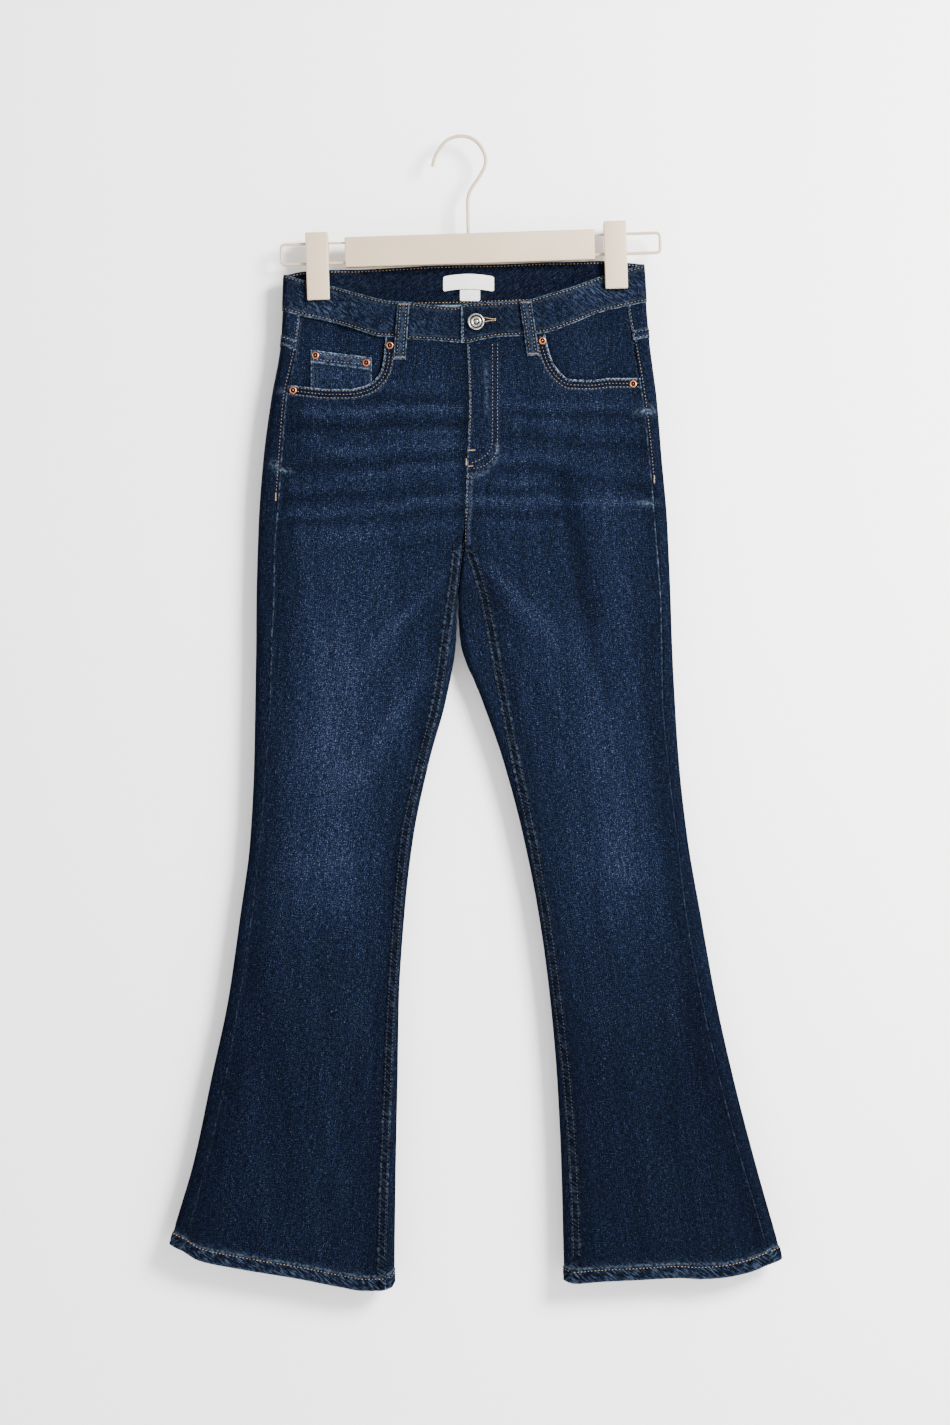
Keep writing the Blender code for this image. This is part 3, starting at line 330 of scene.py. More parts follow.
signs = {"right": -1, "left": 1}  # the way out from the middle on the wearer's right and left
legColumns = ("z", "outer", "sideSeam", "inseam", "inner")
legTables = {
    "right": [
        (-120, -184.5, -162, 2.6, 2.6), (-178, -186.5, -167.5, 2.6, 2.6),
        (-213, -188.5, -171.5, 3.6, 3.6), (-270, -198.3, -183, 5.7, 5.7), (-332, -206.5, -188, 3.6, 3.6),
        (-393, -211.2, -192.6, 1.5, 1.5), (-419, -212.2, -195, -1.8, -0.7),
        (-445, -213, -195.6, -5.2, -3.9), (-476, -213.7, -196.2, -8.6, -6.6),
        (-517, -213.9, -198.3, -13.9, -7.7), (-579, -214.8, -199.8, -23.2, -18),
        (-641, -215.8, -203.9, -38.5, -35), (-723, -219.9, -210.6, -56.1, -52),
        (-805, -230.7, -219.5, -63.9, -61.2), (-888, -242.6, -232, -69.5, -66.4),
        (-970, -260.1, -246, -72.9, -67.8), (-1053, -277.6, -265, -76.2, -69.5),
        (-1135, -301.5, -286, -78.8, -70.6), (-1190, -315, -299, -80, -71)],
    "left": [
        (-120, 185.5, 164.5, 2.6, 2.6), (-178, 189, 169.4, 2.6, 2.6), (-213, 192, 175.6, 3.6, 3.6),
        (-270, 199.3, 184.9, 5.7, 5.7), (-332, 204.5, 192, 3.6, 3.6), (-393, 210, 197.2, 1.5, 1.5),
        (-419, 211.3, 199.3, 1.2, -0.2), (-445, 212.5, 201.5, 8.5, -3.2), (-476, 213.7, 203.4, 17, -5.9),
        (-517, 215, 204.5, 25.2, -3.6), (-579, 218, 205.5, 36.6, 19), (-641, 222, 210.6, 48.9, 40.7),
        (-723, 231.2, 220.5, 66.4, 62.3), (-805, 245.5, 230.5, 80.9, 78.2),
        (-888, 260.3, 246, 92.2, 89.2), (-970, 278.6, 264.2, 101.2, 96.3),
        (-1053, 300, 286.5, 107.5, 100.4), (-1135, 323, 310.5, 110.5, 102.5),
        (-1190, 338, 325, 111, 103.5)],
}
depthColumns = ("z", "front", "back", "middle")
depths = [
    (-120, 13.5, 13, 0), (-178, 13.5, 14, 0), (-213, 13, 15, 0), (-270, 12, 18.5, 0.5),
    (-332, 11, 20, 1.5), (-393, 9.5, 16, 2.5), (-419, 9, 13.5, 3), (-476, 8.5, 10.5, 3),
    (-517, 8.5, 9.5, 3), (-641, 8, 8, 2), (-805, 7, 7, 1), (-970, 7.5, 7.5, 0), (-1135, 10, 10, -1),
    (-1190, 10.5, 10.5, -1)]
form = {
    "crotch": -419.0, "pinchOver": 38.0, "foldOuter": 10.0, "foldCrotch": 4.0, "foldInner": 9.0,
    "foldGrows": 110.0, "lens": 0.2, "clipX": (-150.0, 156.0), "clipPinch": 0.77, "clipFlat": 14.0,
    "clipEase": 21.0, "clipFade": (-172.0, -290.0),
}
edges = {
    "waistTopFront": [
        (-186, -141), (-163, -147), (-137.5, -152.3), (-117, -158.8), (-96.3, -165), (-75.7, -169.7),
        (-55, -171), (-34.5, -174), (-8.8, -176), (-1.5, -174), (6.7, -172.5), (37.6, -171), (53, -169.9),
        (68.5, -167.9), (89.1, -161.7), (109.7, -155.5), (130.3, -147.3), (140.6, -143.2), (167.4, -136),
        (189, -130)],
    "waistSeamFront": [
        (-190, -178.2), (-168.4, -183.3), (-147.8, -187.5), (-127.2, -192.6), (-106.6, -199.8),
        (-86, -206), (-70.4, -207), (-55.1, -209.1), (-34.5, -210.1), (-8.8, -212.2), (2.6, -213.2),
        (17, -210.1), (36.6, -207), (58.2, -205.5), (83.9, -202.4), (109.7, -193.6), (140.6, -180.3),
        (166.3, -174.1), (192, -169)],
    "waistTopBack": [
        (-186, -141), (-163, -137.2), (-117, -134.7), (-65.4, -131.5), (-24.2, -129.3), (37.6, -128),
        (99.4, -125.9), (142.7, -126.4), (167.4, -128.2), (189, -130)],
    "waistSeamBack": [
        (-190, -178.2), (-163, -176), (-65.4, -171.5), (0, -170), (99.4, -167), (167.4, -167.5),
        (192, -169)],
    # the yoke's felled edge, a little under the join of the solids
    "yokeFront": [
        (-199, -211), (-186, -214), (-172, -219.5), (172, -209.5), (186, -207), (199, -204)],
    "yokeBack": [
        (-199, -213), (-192, -215), (2.6, -242), (192, -207), (199, -205)],
    "scoopRight": [
        (-200, -254), (-179.7, -255.4), (-160.2, -257.5), (-137.5, -259.6), (-117, -259.6),
        (-101.5, -256.5), (-91.2, -250.3), (-84, -239), (-81.9, -228.7), (-80.9, -218.4), (-79.8, -206.3)],
    "scoopLeft": [
        (83.8, -204), (85, -210), (87, -218.4), (91.2, -230.7), (99.4, -243), (109.7, -249.8),
        (130.3, -250.3), (150.9, -248.2), (171.5, -248.2), (200, -247.5)],
    "hemRight": [
        (-303, -1138.2), (-290, -1144), (-271.4, -1154.6), (-230.2, -1162.9), (-168.4, -1173.2),
        (-127.2, -1181.4), (-101.5, -1185.5), (-86, -1185.5), (-74, -1182.4), (-70, -1176.3)],
    "hemLeft": [
        (101.5, -1175.2), (114.8, -1178.3), (140.6, -1176.3), (181.8, -1174.2), (223, -1172.1),
        (243.6, -1173.2), (264.2, -1172.1), (295.1, -1166), (310.5, -1159.8), (330, -1152.6)],
}

# folds: x and z of both ends, half width, rise, and how much the crest is faded; a negative amount darkens a
# crease's valley as painted shade
frontFolds = [
    (-165, -305, -10, -299, 11, -1.3, 0), (-160, -286, -30, -281, 9, 0.9, 0),
    (-175, -348, -15, -338, 12, -1.2, 0), (-150, -325, -40, -318, 9, 0.9, 0),
    (-180, -392, -20, -371, 12, -1.1, 0), (60, -296, 165, -288, 10, -1.2, 0),
    (70, -318, 180, -312, 9, 0.9, 0), (45, -344, 190, -336, 12, -1.2, 0),
    (30, -380, 150, -372, 12, -1.1, 0), (-25, -455, -120, -560, 12, 1.1, 0.03),
    (-45, -560, -110, -655, 13, 1.4, 0.06), (30, -450, 85, -510, 11, 1.0, 0.05),
    (108, -370, 128, -480, 14, -1.6, -0.1), (-120, -760, -215, -800, 20, -1.2, 0),
    (120, -780, 225, -815, 20, -1.2, 0),
    # fine whiskers across the hips, unevenly spaced
    (-122, -258, -15, -256, 6, 0.35, 0.042), (-160, -284, -6, -279, 4.6, 0.45, 0.102),
    (-75, -306, -6, -304, 4, 0.4, 0.06), (-137, -324, -6, -317, 5, 0.45, 0.066),
    (-160, -312, -118, -325, 6, 0.3, 0.042), (-122, -350, -6, -337, 5, 0.45, 0.066),
    (-178, -388, -106, -386, 5, 0.5, 0.07), (-78, -380, -3, -373, 4.5, 0.5, 0.07),
    (-178, -359, -100, -361, 5, 0.3, 0.042), (-120, -407, -8, -400, 6, 0.3, 0.03),
    (-170, -407, -110, -412, 7, 0.3, 0.03), (-118, -270, -6, -273, 4, -0.35, -0.054),
    (-178, -300, -6, -295, 4.4, -0.45, -0.066), (-178, -342, -6, -330, 4.5, -0.4, -0.06),
    (-178, -373, -24, -362, 4.6, -0.45, -0.06), (-174, -397, -2, -386, 5, -0.4, -0.048),
    (-60, -421, -6, -415, 6, -0.3, -0.03), (42, -276, 182, -277, 5, 0.45, 0.072),
    (51, -294, 97, -293, 4, 0.4, 0.054), (42, -330, 96, -331, 5, 0.45, 0.06),
    (42, -354, 72, -355, 4, 0.4, 0.06), (13, -374, 182, -376, 5, 0.5, 0.084),
    (100, -302, 180, -300, 5, 0.35, 0.042), (30, -395, 96, -400, 6, 0.4, 0.042),
    (40, -258, 96, -257, 6, 0.3, 0.03), (51, -287, 176, -285, 4, -0.3, -0.036),
    (51, -310, 110, -309, 4.2, -0.4, -0.054), (110, -317, 191, -320, 5, -0.45, -0.054),
    (33, -342, 98, -343, 4.4, -0.4, -0.054), (98, -348, 191, -362, 5.5, -0.45, -0.06),
    (13, -388, 98, -392, 5, -0.4, -0.048), (13, -364, 90, -366, 4, -0.35, -0.042),
    # creases that run out from the crotch
    (-8, -440, -70, -500, 5, 0.5, 0.03), (-60, -490, -96, -527, 4.5, 0.5, 0.036),
    (-46, -556, -84, -612, 5, 0.5, 0.03), (20, -436, 72, -492, 5, 0.5, 0.036),
    (16, -452, 46, -500, 5, -0.5, -0.036), (40, -520, 92, -566, 6, 0.4, 0.018),
    (123, -476, 146, -566, 11, -0.9, -0.054), (104, -352, 118, -440, 9, -0.5, -0.03),
    (-30, -470, -62, -520, 6, -0.5, -0.03), (70, -560, 100, -620, 7, -0.4, -0.018),
    # slack at the knees and along the calves
    (-100, -742, -190, -752, 9, 0.5, 0.02), (-110, -790, -196, -778, 8, 0.4, 0.02),
    (128, -752, 214, -768, 9, 0.5, 0.02), (150, -800, 226, -786, 8, 0.4, 0.01),
    (-215, -860, -180, -1010, 12, -0.6, -0.02), (240, -870, 214, -1020, 13, -0.6, -0.02),
    (-120, -900, -150, -1080, 14, 0.5, 0.02), (150, -900, 190, -1080, 15, 0.5, 0.02),
    (-90, -830, -140, -880, 8, 0.3, 0.01), (104, -850, 150, -905, 8, 0.3, 0.01),
]
backFolds = [
    (-35, -430, -150, -470, 16, 1.8, 0.05), (35, -430, 150, -468, 16, 1.8, 0.05),
    (-25, -480, -120, -545, 15, -1.8, -0.05), (25, -480, 125, -540, 15, -1.8, -0.05),
    (-90, -735, -190, -755, 18, -1.6, 0), (95, -745, 205, -765, 18, -1.6, 0),
    # under the seat and behind the knees
    (-30, -424, -120, -438, 7, -0.7, -0.06), (32, -424, 126, -440, 7, -0.7, -0.06),
    (-40, -452, -160, -492, 7, 0.6, 0.06), (42, -448, 164, -490, 7, 0.6, 0.06),
    (-60, -520, -180, -560, 10, 0.5, 0.04), (62, -518, 176, -566, 10, 0.5, 0.04),
    (-80, -712, -200, -704, 8, 0.7, 0.06), (-90, -728, -196, -738, 6, -0.6, -0.05),
    (-86, -770, -206, -782, 8, 0.7, 0.06), (96, -716, 212, -712, 8, 0.7, 0.06),
    (92, -734, 206, -742, 6, -0.6, -0.05), (100, -778, 222, -790, 8, 0.7, 0.06),
    (-120, -600, -150, -690, 16, 0.6, 0.03), (130, -596, 152, -690, 16, 0.6, 0.03),
    (-150, -860, -180, -1060, 16, 0.6, 0.01), (164, -860, 200, -1060, 16, 0.6, 0.01),
]
# soft ellipses where the cloth is faded by hand: x, z, half width, half height, amount
frontFades = [
    (-122, -456, 56, 80, 0.065), (-128, -560, 46, 80, 0.105), (-142, -655, 46, 80, 0.125),
    (-138, -755, 40, 52, 0.11), (140, -440, 44, 80, 0.055), (108, -350, 90, 50, 0.045),
    (130, -560, 48, 90, 0.075), (152, -670, 44, 80, 0.075), (160, -750, 38, 52, 0.09),
    (79, -496, 26, 62, 0.03), (-40, -360, 70, 60, 0.02),
]
backFades = [
    (-100, -360, 62, 78, 0.1), (104, -360, 62, 78, 0.1), (-110, -560, 44, 120, 0.05),
    (118, -560, 44, 120, 0.05), (-140, -760, 40, 60, 0.05), (150, -770, 40, 60, 0.05),
]


def unit(vectors):
    return vectors / np.linalg.norm(vectors, axis=-1, keepdims=True)


def through(points, x):  # a smooth curve through (x, value) points that doesn't overshoot them
    px, py = np.array(points, float).T
    width = np.diff(px)
    slope = np.diff(py) / width
    sums = slope[1:] + slope[:-1]
    both = slope[1:] * slope[:-1]
    inner = np.where(both > 0, 2 * both / np.where(sums == 0, 1, sums), 0)
    tangent = np.concatenate([[slope[0]], inner, [slope[-1]]])
    x = np.clip(x, px[0], px[-1])
    i = np.clip(np.searchsorted(px, x) - 1, 0, len(width) - 1)
    t = (x - px[i]) / width[i]
    return ((1 + 2 * t) * (1 - t) ** 2 * py[i] + t * (1 - t) ** 2 * width[i] * tangent[i]
            + t * t * (3 - 2 * t) * py[i + 1] + t * t * (t - 1) * width[i] * tangent[i + 1])


def legAt(side, name, z):
    k = legColumns.index(name)
    return through([(row[0], row[k]) for row in reversed(legTables[side])], z)


def depthAt(name, z):
    k = depthColumns.index(name)
    return through([(row[0], row[k]) for row in reversed(depths)], z)


def smooth(a, b, x):
    t = np.clip((x - a) / (b - a), 0, 1)
    return t * t * (3 - 2 * t)


def rounding(distance, over):
    return np.sqrt(1 - (1 - np.clip(distance / over, 0, 1)) ** 2)


def bell(x, wide):
    return np.exp(-(x / wide) ** 2)


def uneven(x, seed):  # a wave from -1 to 1 that doesn't repeat
    return (np.sin(x + seed) + np.sin(1.73 * x + 2.1 * seed + 1) + np.sin(2.63 * x + 3.7 * seed + 2)) / 3


def foldsAt(folds, x, z, which):
    total = 0 * x + 0 * z
    for x0, z0, x1, z1, wide, *values in folds:
        if not values[which]:
            continue
        run = math.hypot(x1 - x0, z1 - z0)
        ux, uz = (x1 - x0) / run, (z1 - z0) / run
        along, across = (x - x0) * ux + (z - z0) * uz, (z - z0) * ux - (x - x0) * uz
        beyond = np.maximum(np.maximum(-along, along - run), 0)
        total = total + values[which] * np.exp(-(across / wide) ** 2 - (beyond / (2 * wide)) ** 2)
    return total


def halfDepth(side, face, x, z):
    outer, inner = legAt(side, "outer", z), legAt(side, "inner", z)
    pinched = smooth(form["crotch"] + form["pinchOver"], form["crotch"], z)
    share = np.clip((x - outer) / (inner - outer), 0, 1)
    lens = 1 - form["lens"] + form["lens"] * np.sin(math.pi * share * (0.5 + 0.5 * pinched))
    grown = smooth(form["crotch"], form["crotch"] - form["foldGrows"], z)
    foldInner = form["foldCrotch"] + (form["foldInner"] - form["foldCrotch"]) * grown
    shape = rounding(abs(x - outer), form["foldOuter"])
    shape = shape * (1 - pinched * (1 - rounding(abs(x - inner), foldInner)))
    for clipX in form["clipX"]:
        away = np.maximum(abs(x - clipX) - form["clipFlat"], 0)
        held = form["clipPinch"] * (1 - smooth(*form["clipFade"], z))
        shape = shape * (1 - held * np.exp(-(away / form["clipEase"]) ** 2))
    folds = frontFolds if face == "front" else backFolds
    return shape * (lens * depthAt(face, z) + foldsAt(folds, x, z, 0))


def clothY(face, x, z):
    x, z = np.asarray(x, float), np.asarray(z, float)
    onRight = x < legAt("right", "inner", z)
    deep = np.where(onRight, halfDepth("right", face, x, z), halfDepth("left", face, x, z))
    return depthAt("middle", z) + (-deep if face == "front" else deep)


# ---- sheets: the cloth's form as lines across it, one every 2 mm of height ----

sheetStep = 2.0
foldPoints, facePoints, frontPoints = 80, 240, 220  # points of a line round a fold, a face, a front panel


def lengthAlong(x, y):
    steps = np.hypot(np.diff(x, axis=-1), np.diff(y, axis=-1))
    return np.concatenate([np.zeros(x.shape[:-1] + (1,)), np.cumsum(steps, axis=-1)], axis=-1)


def frontLines(side, z):  # from the side seam to the inseam or centre line
    seam, inseam = legAt(side, "sideSeam", z), legAt(side, "inseam", z)
    x = inseam + (seam - inseam) * (1 - np.linspace(0, 1, frontPoints)) ** 2
    y = depthAt("middle", z) - halfDepth(side, "front", x, z)
    return x, y, [0 * z[:, 0], 1 + 0 * z[:, 0]]


def backLines(side, z):  # from the side seam round the outer fold, across the back and round to the inseam
    outer, seam, inseam, inner = (legAt(side, n, z) for n in ("outer", "sideSeam", "inseam", "inner"))
    q = np.linspace(0, 1, foldPoints)
    first = outer + (seam - outer) * (1 - q) ** 2
    back = outer + (inner - outer) * (1 - np.cos(math.pi * np.linspace(0, 1, facePoints)))[1:] / 2
    last = inner + (inseam - inner) * q[1:] ** 2
    mid = depthAt("middle", z)
    wraps = z <= form["crotch"]
    lastDeep = np.where(wraps, -halfDepth(side, "front", last, z), halfDepth(side, "back", inner, z))
    x = np.concatenate([first, back, np.where(wraps, last, inner)], axis=1)
    deep = [-halfDepth(side, "front", first, z), halfDepth(side, "back", back, z), lastDeep]
    y = mid + np.concatenate(deep, axis=1)
    run = lengthAlong(x, y)
    total = run[:, -1]
    wrap = np.maximum(total - run[:, foldPoints + facePoints - 2], 20.0)
    return x, y, [0 * total, run[:, foldPoints - 1] / total, 1 - wrap / total, 1 + 0 * total]


lap = {"from": -2.6, "to": 37.6, "rise": 2.7, "fade": (40.0, 52.0)}  # the waistband's buttoned end


def waistLines(z):  # from the buttoned end to the left side, across the back, and on to the end underneath
    left, right = legAt("left", "outer", z), legAt("right", "outer", z)
    q = np.linspace(0, 1, facePoints)
    first = left - (left - lap["from"]) * (1 - q) ** 2
    back = left + (right - left) * (1 - np.cos(math.pi * q))[1:] / 2
    last = right + (lap["to"] - right) * q[1:] ** 2
    x = np.concatenate([first, back, last], axis=1)
    y = np.concatenate([clothY("front", first, z), clothY("back", back, z), clothY("front", last, z)], axis=1)
    run = lengthAlong(x, y)
    total = run[:, -1]
    corners = run[:, facePoints - 1] / total, run[:, 2 * facePoints - 2] / total
    return x, y, [0 * total, *corners, 1 + 0 * total]


def makeSheet(lines, high, low, faces, count):
    levels = np.arange(low, high + sheetStep, sheetStep)
    x, y, knots = lines(levels[:, None])
    run = lengthAlong(x, y)
    shares = np.linspace(0, 1, count)
    points = np.empty((len(levels), count, 3))
    for i in range(len(levels)):
        points[i, :, 0] = np.interp(shares * run[i, -1], run[i], x[i])
        points[i, :, 1] = np.interp(shares * run[i, -1], run[i], y[i])
    points[..., 2] = levels[:, None]
    normals = np.cross(np.gradient(points, axis=1), np.gradient(points, axis=0))
    normals *= faces * np.sign(normals[len(levels) // 2, count // 2, 1])
    return {"levels": levels, "points": points, "normals": unit(normals), "lengths": run[:, -1],
            "knots": np.array(knots).T}


def between(grids, row, col):  # what each grid holds at parts of a row and column
    i, j = row.astype(int), col.astype(int)
    a, b = (row - i)[..., None], (col - j)[..., None]
    return [(1 - a) * ((1 - b) * g[i, j] + b * g[i, j + 1])
            + a * ((1 - b) * g[i + 1, j] + b * g[i + 1, j + 1]) for g in grids]


def readSheet(sheet, share, z):
    rows, cols = sheet["points"].shape[:2]
    row = np.clip((z - sheet["levels"][0]) / sheetStep, 0, rows - 1.001)
    col = np.clip(share * (cols - 1), 0, cols - 1.001)
    points, normals = between((sheet["points"], sheet["normals"]), row, col)
    return points, unit(normals)


def lengthAt(sheet, z):
    return np.interp(z, sheet["levels"], sheet["lengths"])


def placeShare(sheet, place, z):  # place is a knot and an inset from it
    knot, inset = place
    first = int(min(knot, sheet["knots"].shape[1] - 2))
    a, b = (np.interp(z, sheet["levels"], sheet["knots"][:, k]) for k in (first, first + 1))
    return a + (b - a) * (knot - first) + inset / lengthAt(sheet, z)


def spread(start, end, count, closer=()):  # columns evenly between two places, closer in one stretch
    even = np.linspace(0, 1, count + 2)[1:-1]
    return [(start, end, t) for t in sorted([*even, *(np.linspace(*closer) if closer else [])])]


def at(knot, insets):  # columns at insets from one knot
    return [((knot, inset), (knot, inset), 0.0) for inset in insets]


def shareTable(sheet, columns):
    levels = sheet["levels"]
    return np.stack([(1 - t) * placeShare(sheet, a, levels) + t * placeShare(sheet, b, levels)
                     for a, b, t in columns], axis=1)


def sharesAt(sheet, table, z):
    row = np.clip((z - sheet["levels"][0]) / sheetStep, 0, len(table) - 1.001)
    i = row.astype(int)
    cols = np.broadcast_to(np.arange(table.shape[1]), z.shape)
    return table[i, cols] + (row - i) * (table[i + 1, cols] - table[i, cols])


def heightsOn(sheet, table, edge):  # where each column meets an edge, given as z for each x and side
    low = np.full(table.shape[1], sheet["levels"][0])
    high = np.full(table.shape[1], sheet["levels"][-1])
    for step in range(36):
        z = (low + high) / 2
        point, normal = readSheet(sheet, sharesAt(sheet, table, z), z)
        above = z > edge(point[:, 0], normal[:, 1] > 0)
        high, low = np.where(above, z, high), np.where(above, low, z)
    return (low + high) / 2


# ---- meshes ----

walls = {"outside": [], "inside": []}  # the two sides of each panel made so far, for what lies on it
panels = {}
clothThick = 1.2


def newMesh(name, points, corners, starts):
    mesh = bpy.data.meshes.new(name)
    mesh.vertices.add(len(points))
    mesh.vertices.foreach_set("co", (points * mm).ravel())
    mesh.loops.add(len(corners))
    mesh.loops.foreach_set("vertex_index", corners)
    mesh.polygons.add(len(starts))
    mesh.polygons.foreach_set("loop_start", starts)
    mesh.update(calc_edges=True)
    return mesh


def finishPiece(name, mesh, materials, nodes):
    piece = bpy.data.objects.new(name, mesh)
    bpy.context.scene.collection.objects.link(piece)
    for look in materials:
        mesh.materials.append(looks[look])
    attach(piece, "root")
    if nodes:
        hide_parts(*nodes)


def shadeSmooth(mesh, degrees):
    mesh.shade_smooth()
    mesh.set_sharp_from_angle(angle=math.radians(degrees))


def makeBlock(size, at, edge, segments=3):
    deselect()
    bpy.ops.mesh.primitive_cube_add(size=1, location=(0, 0, 0))
    block = bpy.context.object
    bpy.ops.object.mode_set(mode="EDIT")
    bpy.ops.mesh.select_all(action="SELECT")
    bpy.ops.transform.resize(value=size)
    if edge:
        bpy.ops.mesh.bevel(offset=edge, segments=segments, affect="EDGES")
    bpy.ops.transform.translate(value=at)
    bpy.ops.object.mode_set(mode="OBJECT")
    return block


def makeWall(name, outside, inside, cloth, wearAndShade, wearInside, materials, node, liesOn=False):
    rows, cols = outside.shape[:2]
    n = rows * cols
    across, up = np.gradient(outside, axis=1), np.gradient(outside, axis=0)
    k = np.arange(n).reshape(rows, cols)
    quads = np.stack([k[:-1, :-1], k[:-1, 1:], k[1:, 1:], k[1:, :-1]], axis=-1).reshape(-1, 4)
    rim = np.concatenate([k[0, :], k[1:, -1], k[-1, -2::-1], k[-2:0:-1, 0]])
    after = np.roll(rim, -1)
    sides = np.stack([after, rim, n + rim, n + after], axis=1)
    if np.sum(np.cross(across, up) * (outside - inside)) > 0:
        quads, sides = quads[:, ::-1], sides[:, ::-1]
    faces = np.concatenate([quads, n + quads[:, ::-1], sides])
    points = np.concatenate([outside.reshape(-1, 3), inside.reshape(-1, 3)])
    mesh = newMesh(name, points, faces.ravel(), np.arange(0, faces.size, 4))
    if len(materials) > 1:
        look = np.zeros(len(faces), int)
        look[len(quads):2 * len(quads)] = 1
        mesh.polygons.foreach_set("material_index", look)
    both = np.concatenate([cloth.reshape(-1, 2), cloth.reshape(-1, 2)])
    mesh.uv_layers.new(name="cloth").data.foreach_set("uv", both[faces.ravel()].ravel())
    values = np.concatenate([wearAndShade.reshape(-1, 3), wearInside.reshape(-1, 3)])
    values = np.concatenate([values, np.ones((2 * n, 1))], axis=1)
    mesh.attributes.new("wearAndShade", "FLOAT_COLOR", "POINT").data.foreach_set("color", values.ravel())
    shadeSmooth(mesh, 62)
    if liesOn:
        corners = [Vector(p) for p in points]
        walls["outside"].append(BVHTree.FromPolygons(corners, quads.tolist()))
        walls["inside"].append(BVHTree.FromPolygons(corners, (n + quads[:, ::-1]).tolist()))
    finishPiece(name, mesh, materials, [node])


def wearAndShadeOf(shape, fade, rub=0.0, rope=0.0):
    channels = (fade, np.clip(rub, 0, 1), np.clip(rope, 0, 1))
    return np.stack([np.broadcast_to(v, shape).astype(float) for v in channels], axis=-1)


def makePanel(node, sheet, columns, rowsFrom, raised, wornAndShaded):
    table = shareTable(sheet, columns)
    z = rowsFrom(sheet, table)
    share = sharesAt(sheet, table, z)
    points, normals = readSheet(sheet, share, z)
    length = lengthAt(sheet, z)
    ends = share * length, (1 - share) * length  # how far from the first and the last seam
    lift = raised(points, z, *ends)[..., None]
    wearAndShade = wearAndShadeOf(z.shape, *wornAndShaded(points, z, *ends))
    middle = (points[:, 0, 0] + points[:, -1, 0]).mean() / 2
    way = np.sign(points[0, -1, 0] - points[0, 0, 0])
    cloth = np.stack([middle + (share - 0.5) * length * way, z], axis=-1)
    panels[node] = {"sheet": sheet, "raised": raised}
    makeWall(node + "_cloth", points + normals * lift, points - normals * clothThick, cloth, wearAndShade,
             wearAndShadeOf(z.shape, 0.5), ["denim", "wrongSide"], node, liesOn=True)


def over(face, x, z, out, under=False):  # points on the panels' outside or inside, moved out from it
    x, z = np.asarray(x, float), np.asarray(z, float)
    d = 0.8
    slopeX = (clothY(face, x + d, z) - clothY(face, x - d, z)) / (2 * d)
    slopeZ = (clothY(face, x, z + d) - clothY(face, x, z - d)) / (2 * d)
    way = -1.0 if face == "front" else 1.0
    normal = unit(np.stack([-slopeX * way, np.ones_like(x) * way, -slopeZ * way], axis=-1))
    places = np.stack([x, clothY(face, x, z), z], axis=-1) - normal * (clothThick if under else 0)
    middle = depthAt("middle", z)
    for place, mid in zip(places.reshape(-1, 3), np.broadcast_to(middle, x.shape).reshape(-1)):
        start = Vector((place[0], way * 300, place[2]))
        for wall in walls["inside" if under else "outside"]:
            hit = wall.ray_cast(start, Vector((0, -way, 0)))[0]
            if hit and abs(hit.y - place[1]) < 5 and way * (hit.y - mid) > 0:
                place[1] = hit.y
                break
    return places + normal * np.asarray(out)[..., None], normal


# ---- thread: one stitch modelled, then copied along each row ----

deselect()
bpy.ops.mesh.primitive_uv_sphere_add(segments=6, ring_count=5, radius=0.5, rotation=(0, math.pi / 2, 0))
stitch = bpy.context.object
bpy.ops.object.transform_apply(location=False, rotation=True, scale=False)
stitchPoints = np.array([v.co for v in stitch.data.vertices])
stitchPoints[:, 2] -= 0.9 * stitchPoints[:, 0] ** 2  # the ends dive into the cloth
stitchFaces = [tuple(p.vertices) for p in stitch.data.polygons]
bpy.data.objects.remove(stitch)

thread = {"pitch": 3.6, "length": 1.8, "wide": 0.7, "tall": 0.56}
sewn = {"tan": [], "gold": [], "navy": [], "brown": []}
wobble = np.random.default_rng(11)


def copiesAt(shape, points, along, aside, upright):
    return (points[:, None] + along[:, None] * shape[:, 0:1] + aside[:, None] * shape[:, 1:2]
            + upright[:, None] * shape[:, 2:3])


def addStitches(look, points, ways, normals, length, wide, tall):
    ways = unit(ways)
    sideways = unit(np.cross(normals, ways))
    upright = np.cross(ways, sideways)
    n = len(points)
    turn = wobble.normal(0, 0.045, n)[:, None]
    along, aside = ways + sideways * turn, sideways - ways * turn
    longs = length * (1 + wobble.normal(0, 0.05, n))[:, None]
    sewn[look].append(copiesAt(stitchPoints, points, along * longs, aside * wide, upright * tall))


def alongPath(points, normals, pitch):
    run = np.concatenate([[0], np.cumsum(np.linalg.norm(np.diff(points, axis=0), axis=1))])
    count = max(int(round(run[-1] / pitch)), 1)
    middles = (np.arange(count) + 0.5) * run[-1] / count
    here, normal, ahead, before = (
        np.stack([np.interp(where, run, grid[:, k]) for k in range(3)], axis=1) for where, grid in (
            (middles, points), (middles, normals), (middles + 0.4, points), (middles - 0.4, points)))
    return here, ahead - before, unit(normal)


def sewLine(look, points, normals, scale=1.0):
    here, ways, normal = alongPath(points, normals, thread["pitch"])
    addStitches(look, here, ways, normal, thread["length"], thread["wide"] * scale, thread["tall"] * scale)


def evenly(path, step=1.5):
    path = np.array(path, float)
    run = lengthAlong(path[:, 0], path[:, 1])
    where = np.linspace(0, run[-1], max(int(run[-1] / step), 2))
    return np.interp(where, run, path[:, 0]), np.interp(where, run, path[:, 1])


def sewOver(look, face, path):  # a row along (x, z) points on the front or back
    x, z = evenly(path)
    points, normals = over(face, x, z, np.full(len(x), 0.12))
    sewLine(look, points, normals)


def sewOnPanel(look, node, share, z, lift):
    sheet, raised = panels[node]["sheet"], panels[node]["raised"]
    points, normals = readSheet(sheet, share, z)
    length = lengthAt(sheet, z)
    high = raised(points, z, share * length, (1 - share) * length)
    sewLine(look, points + normals * (high + lift)[:, None], normals)


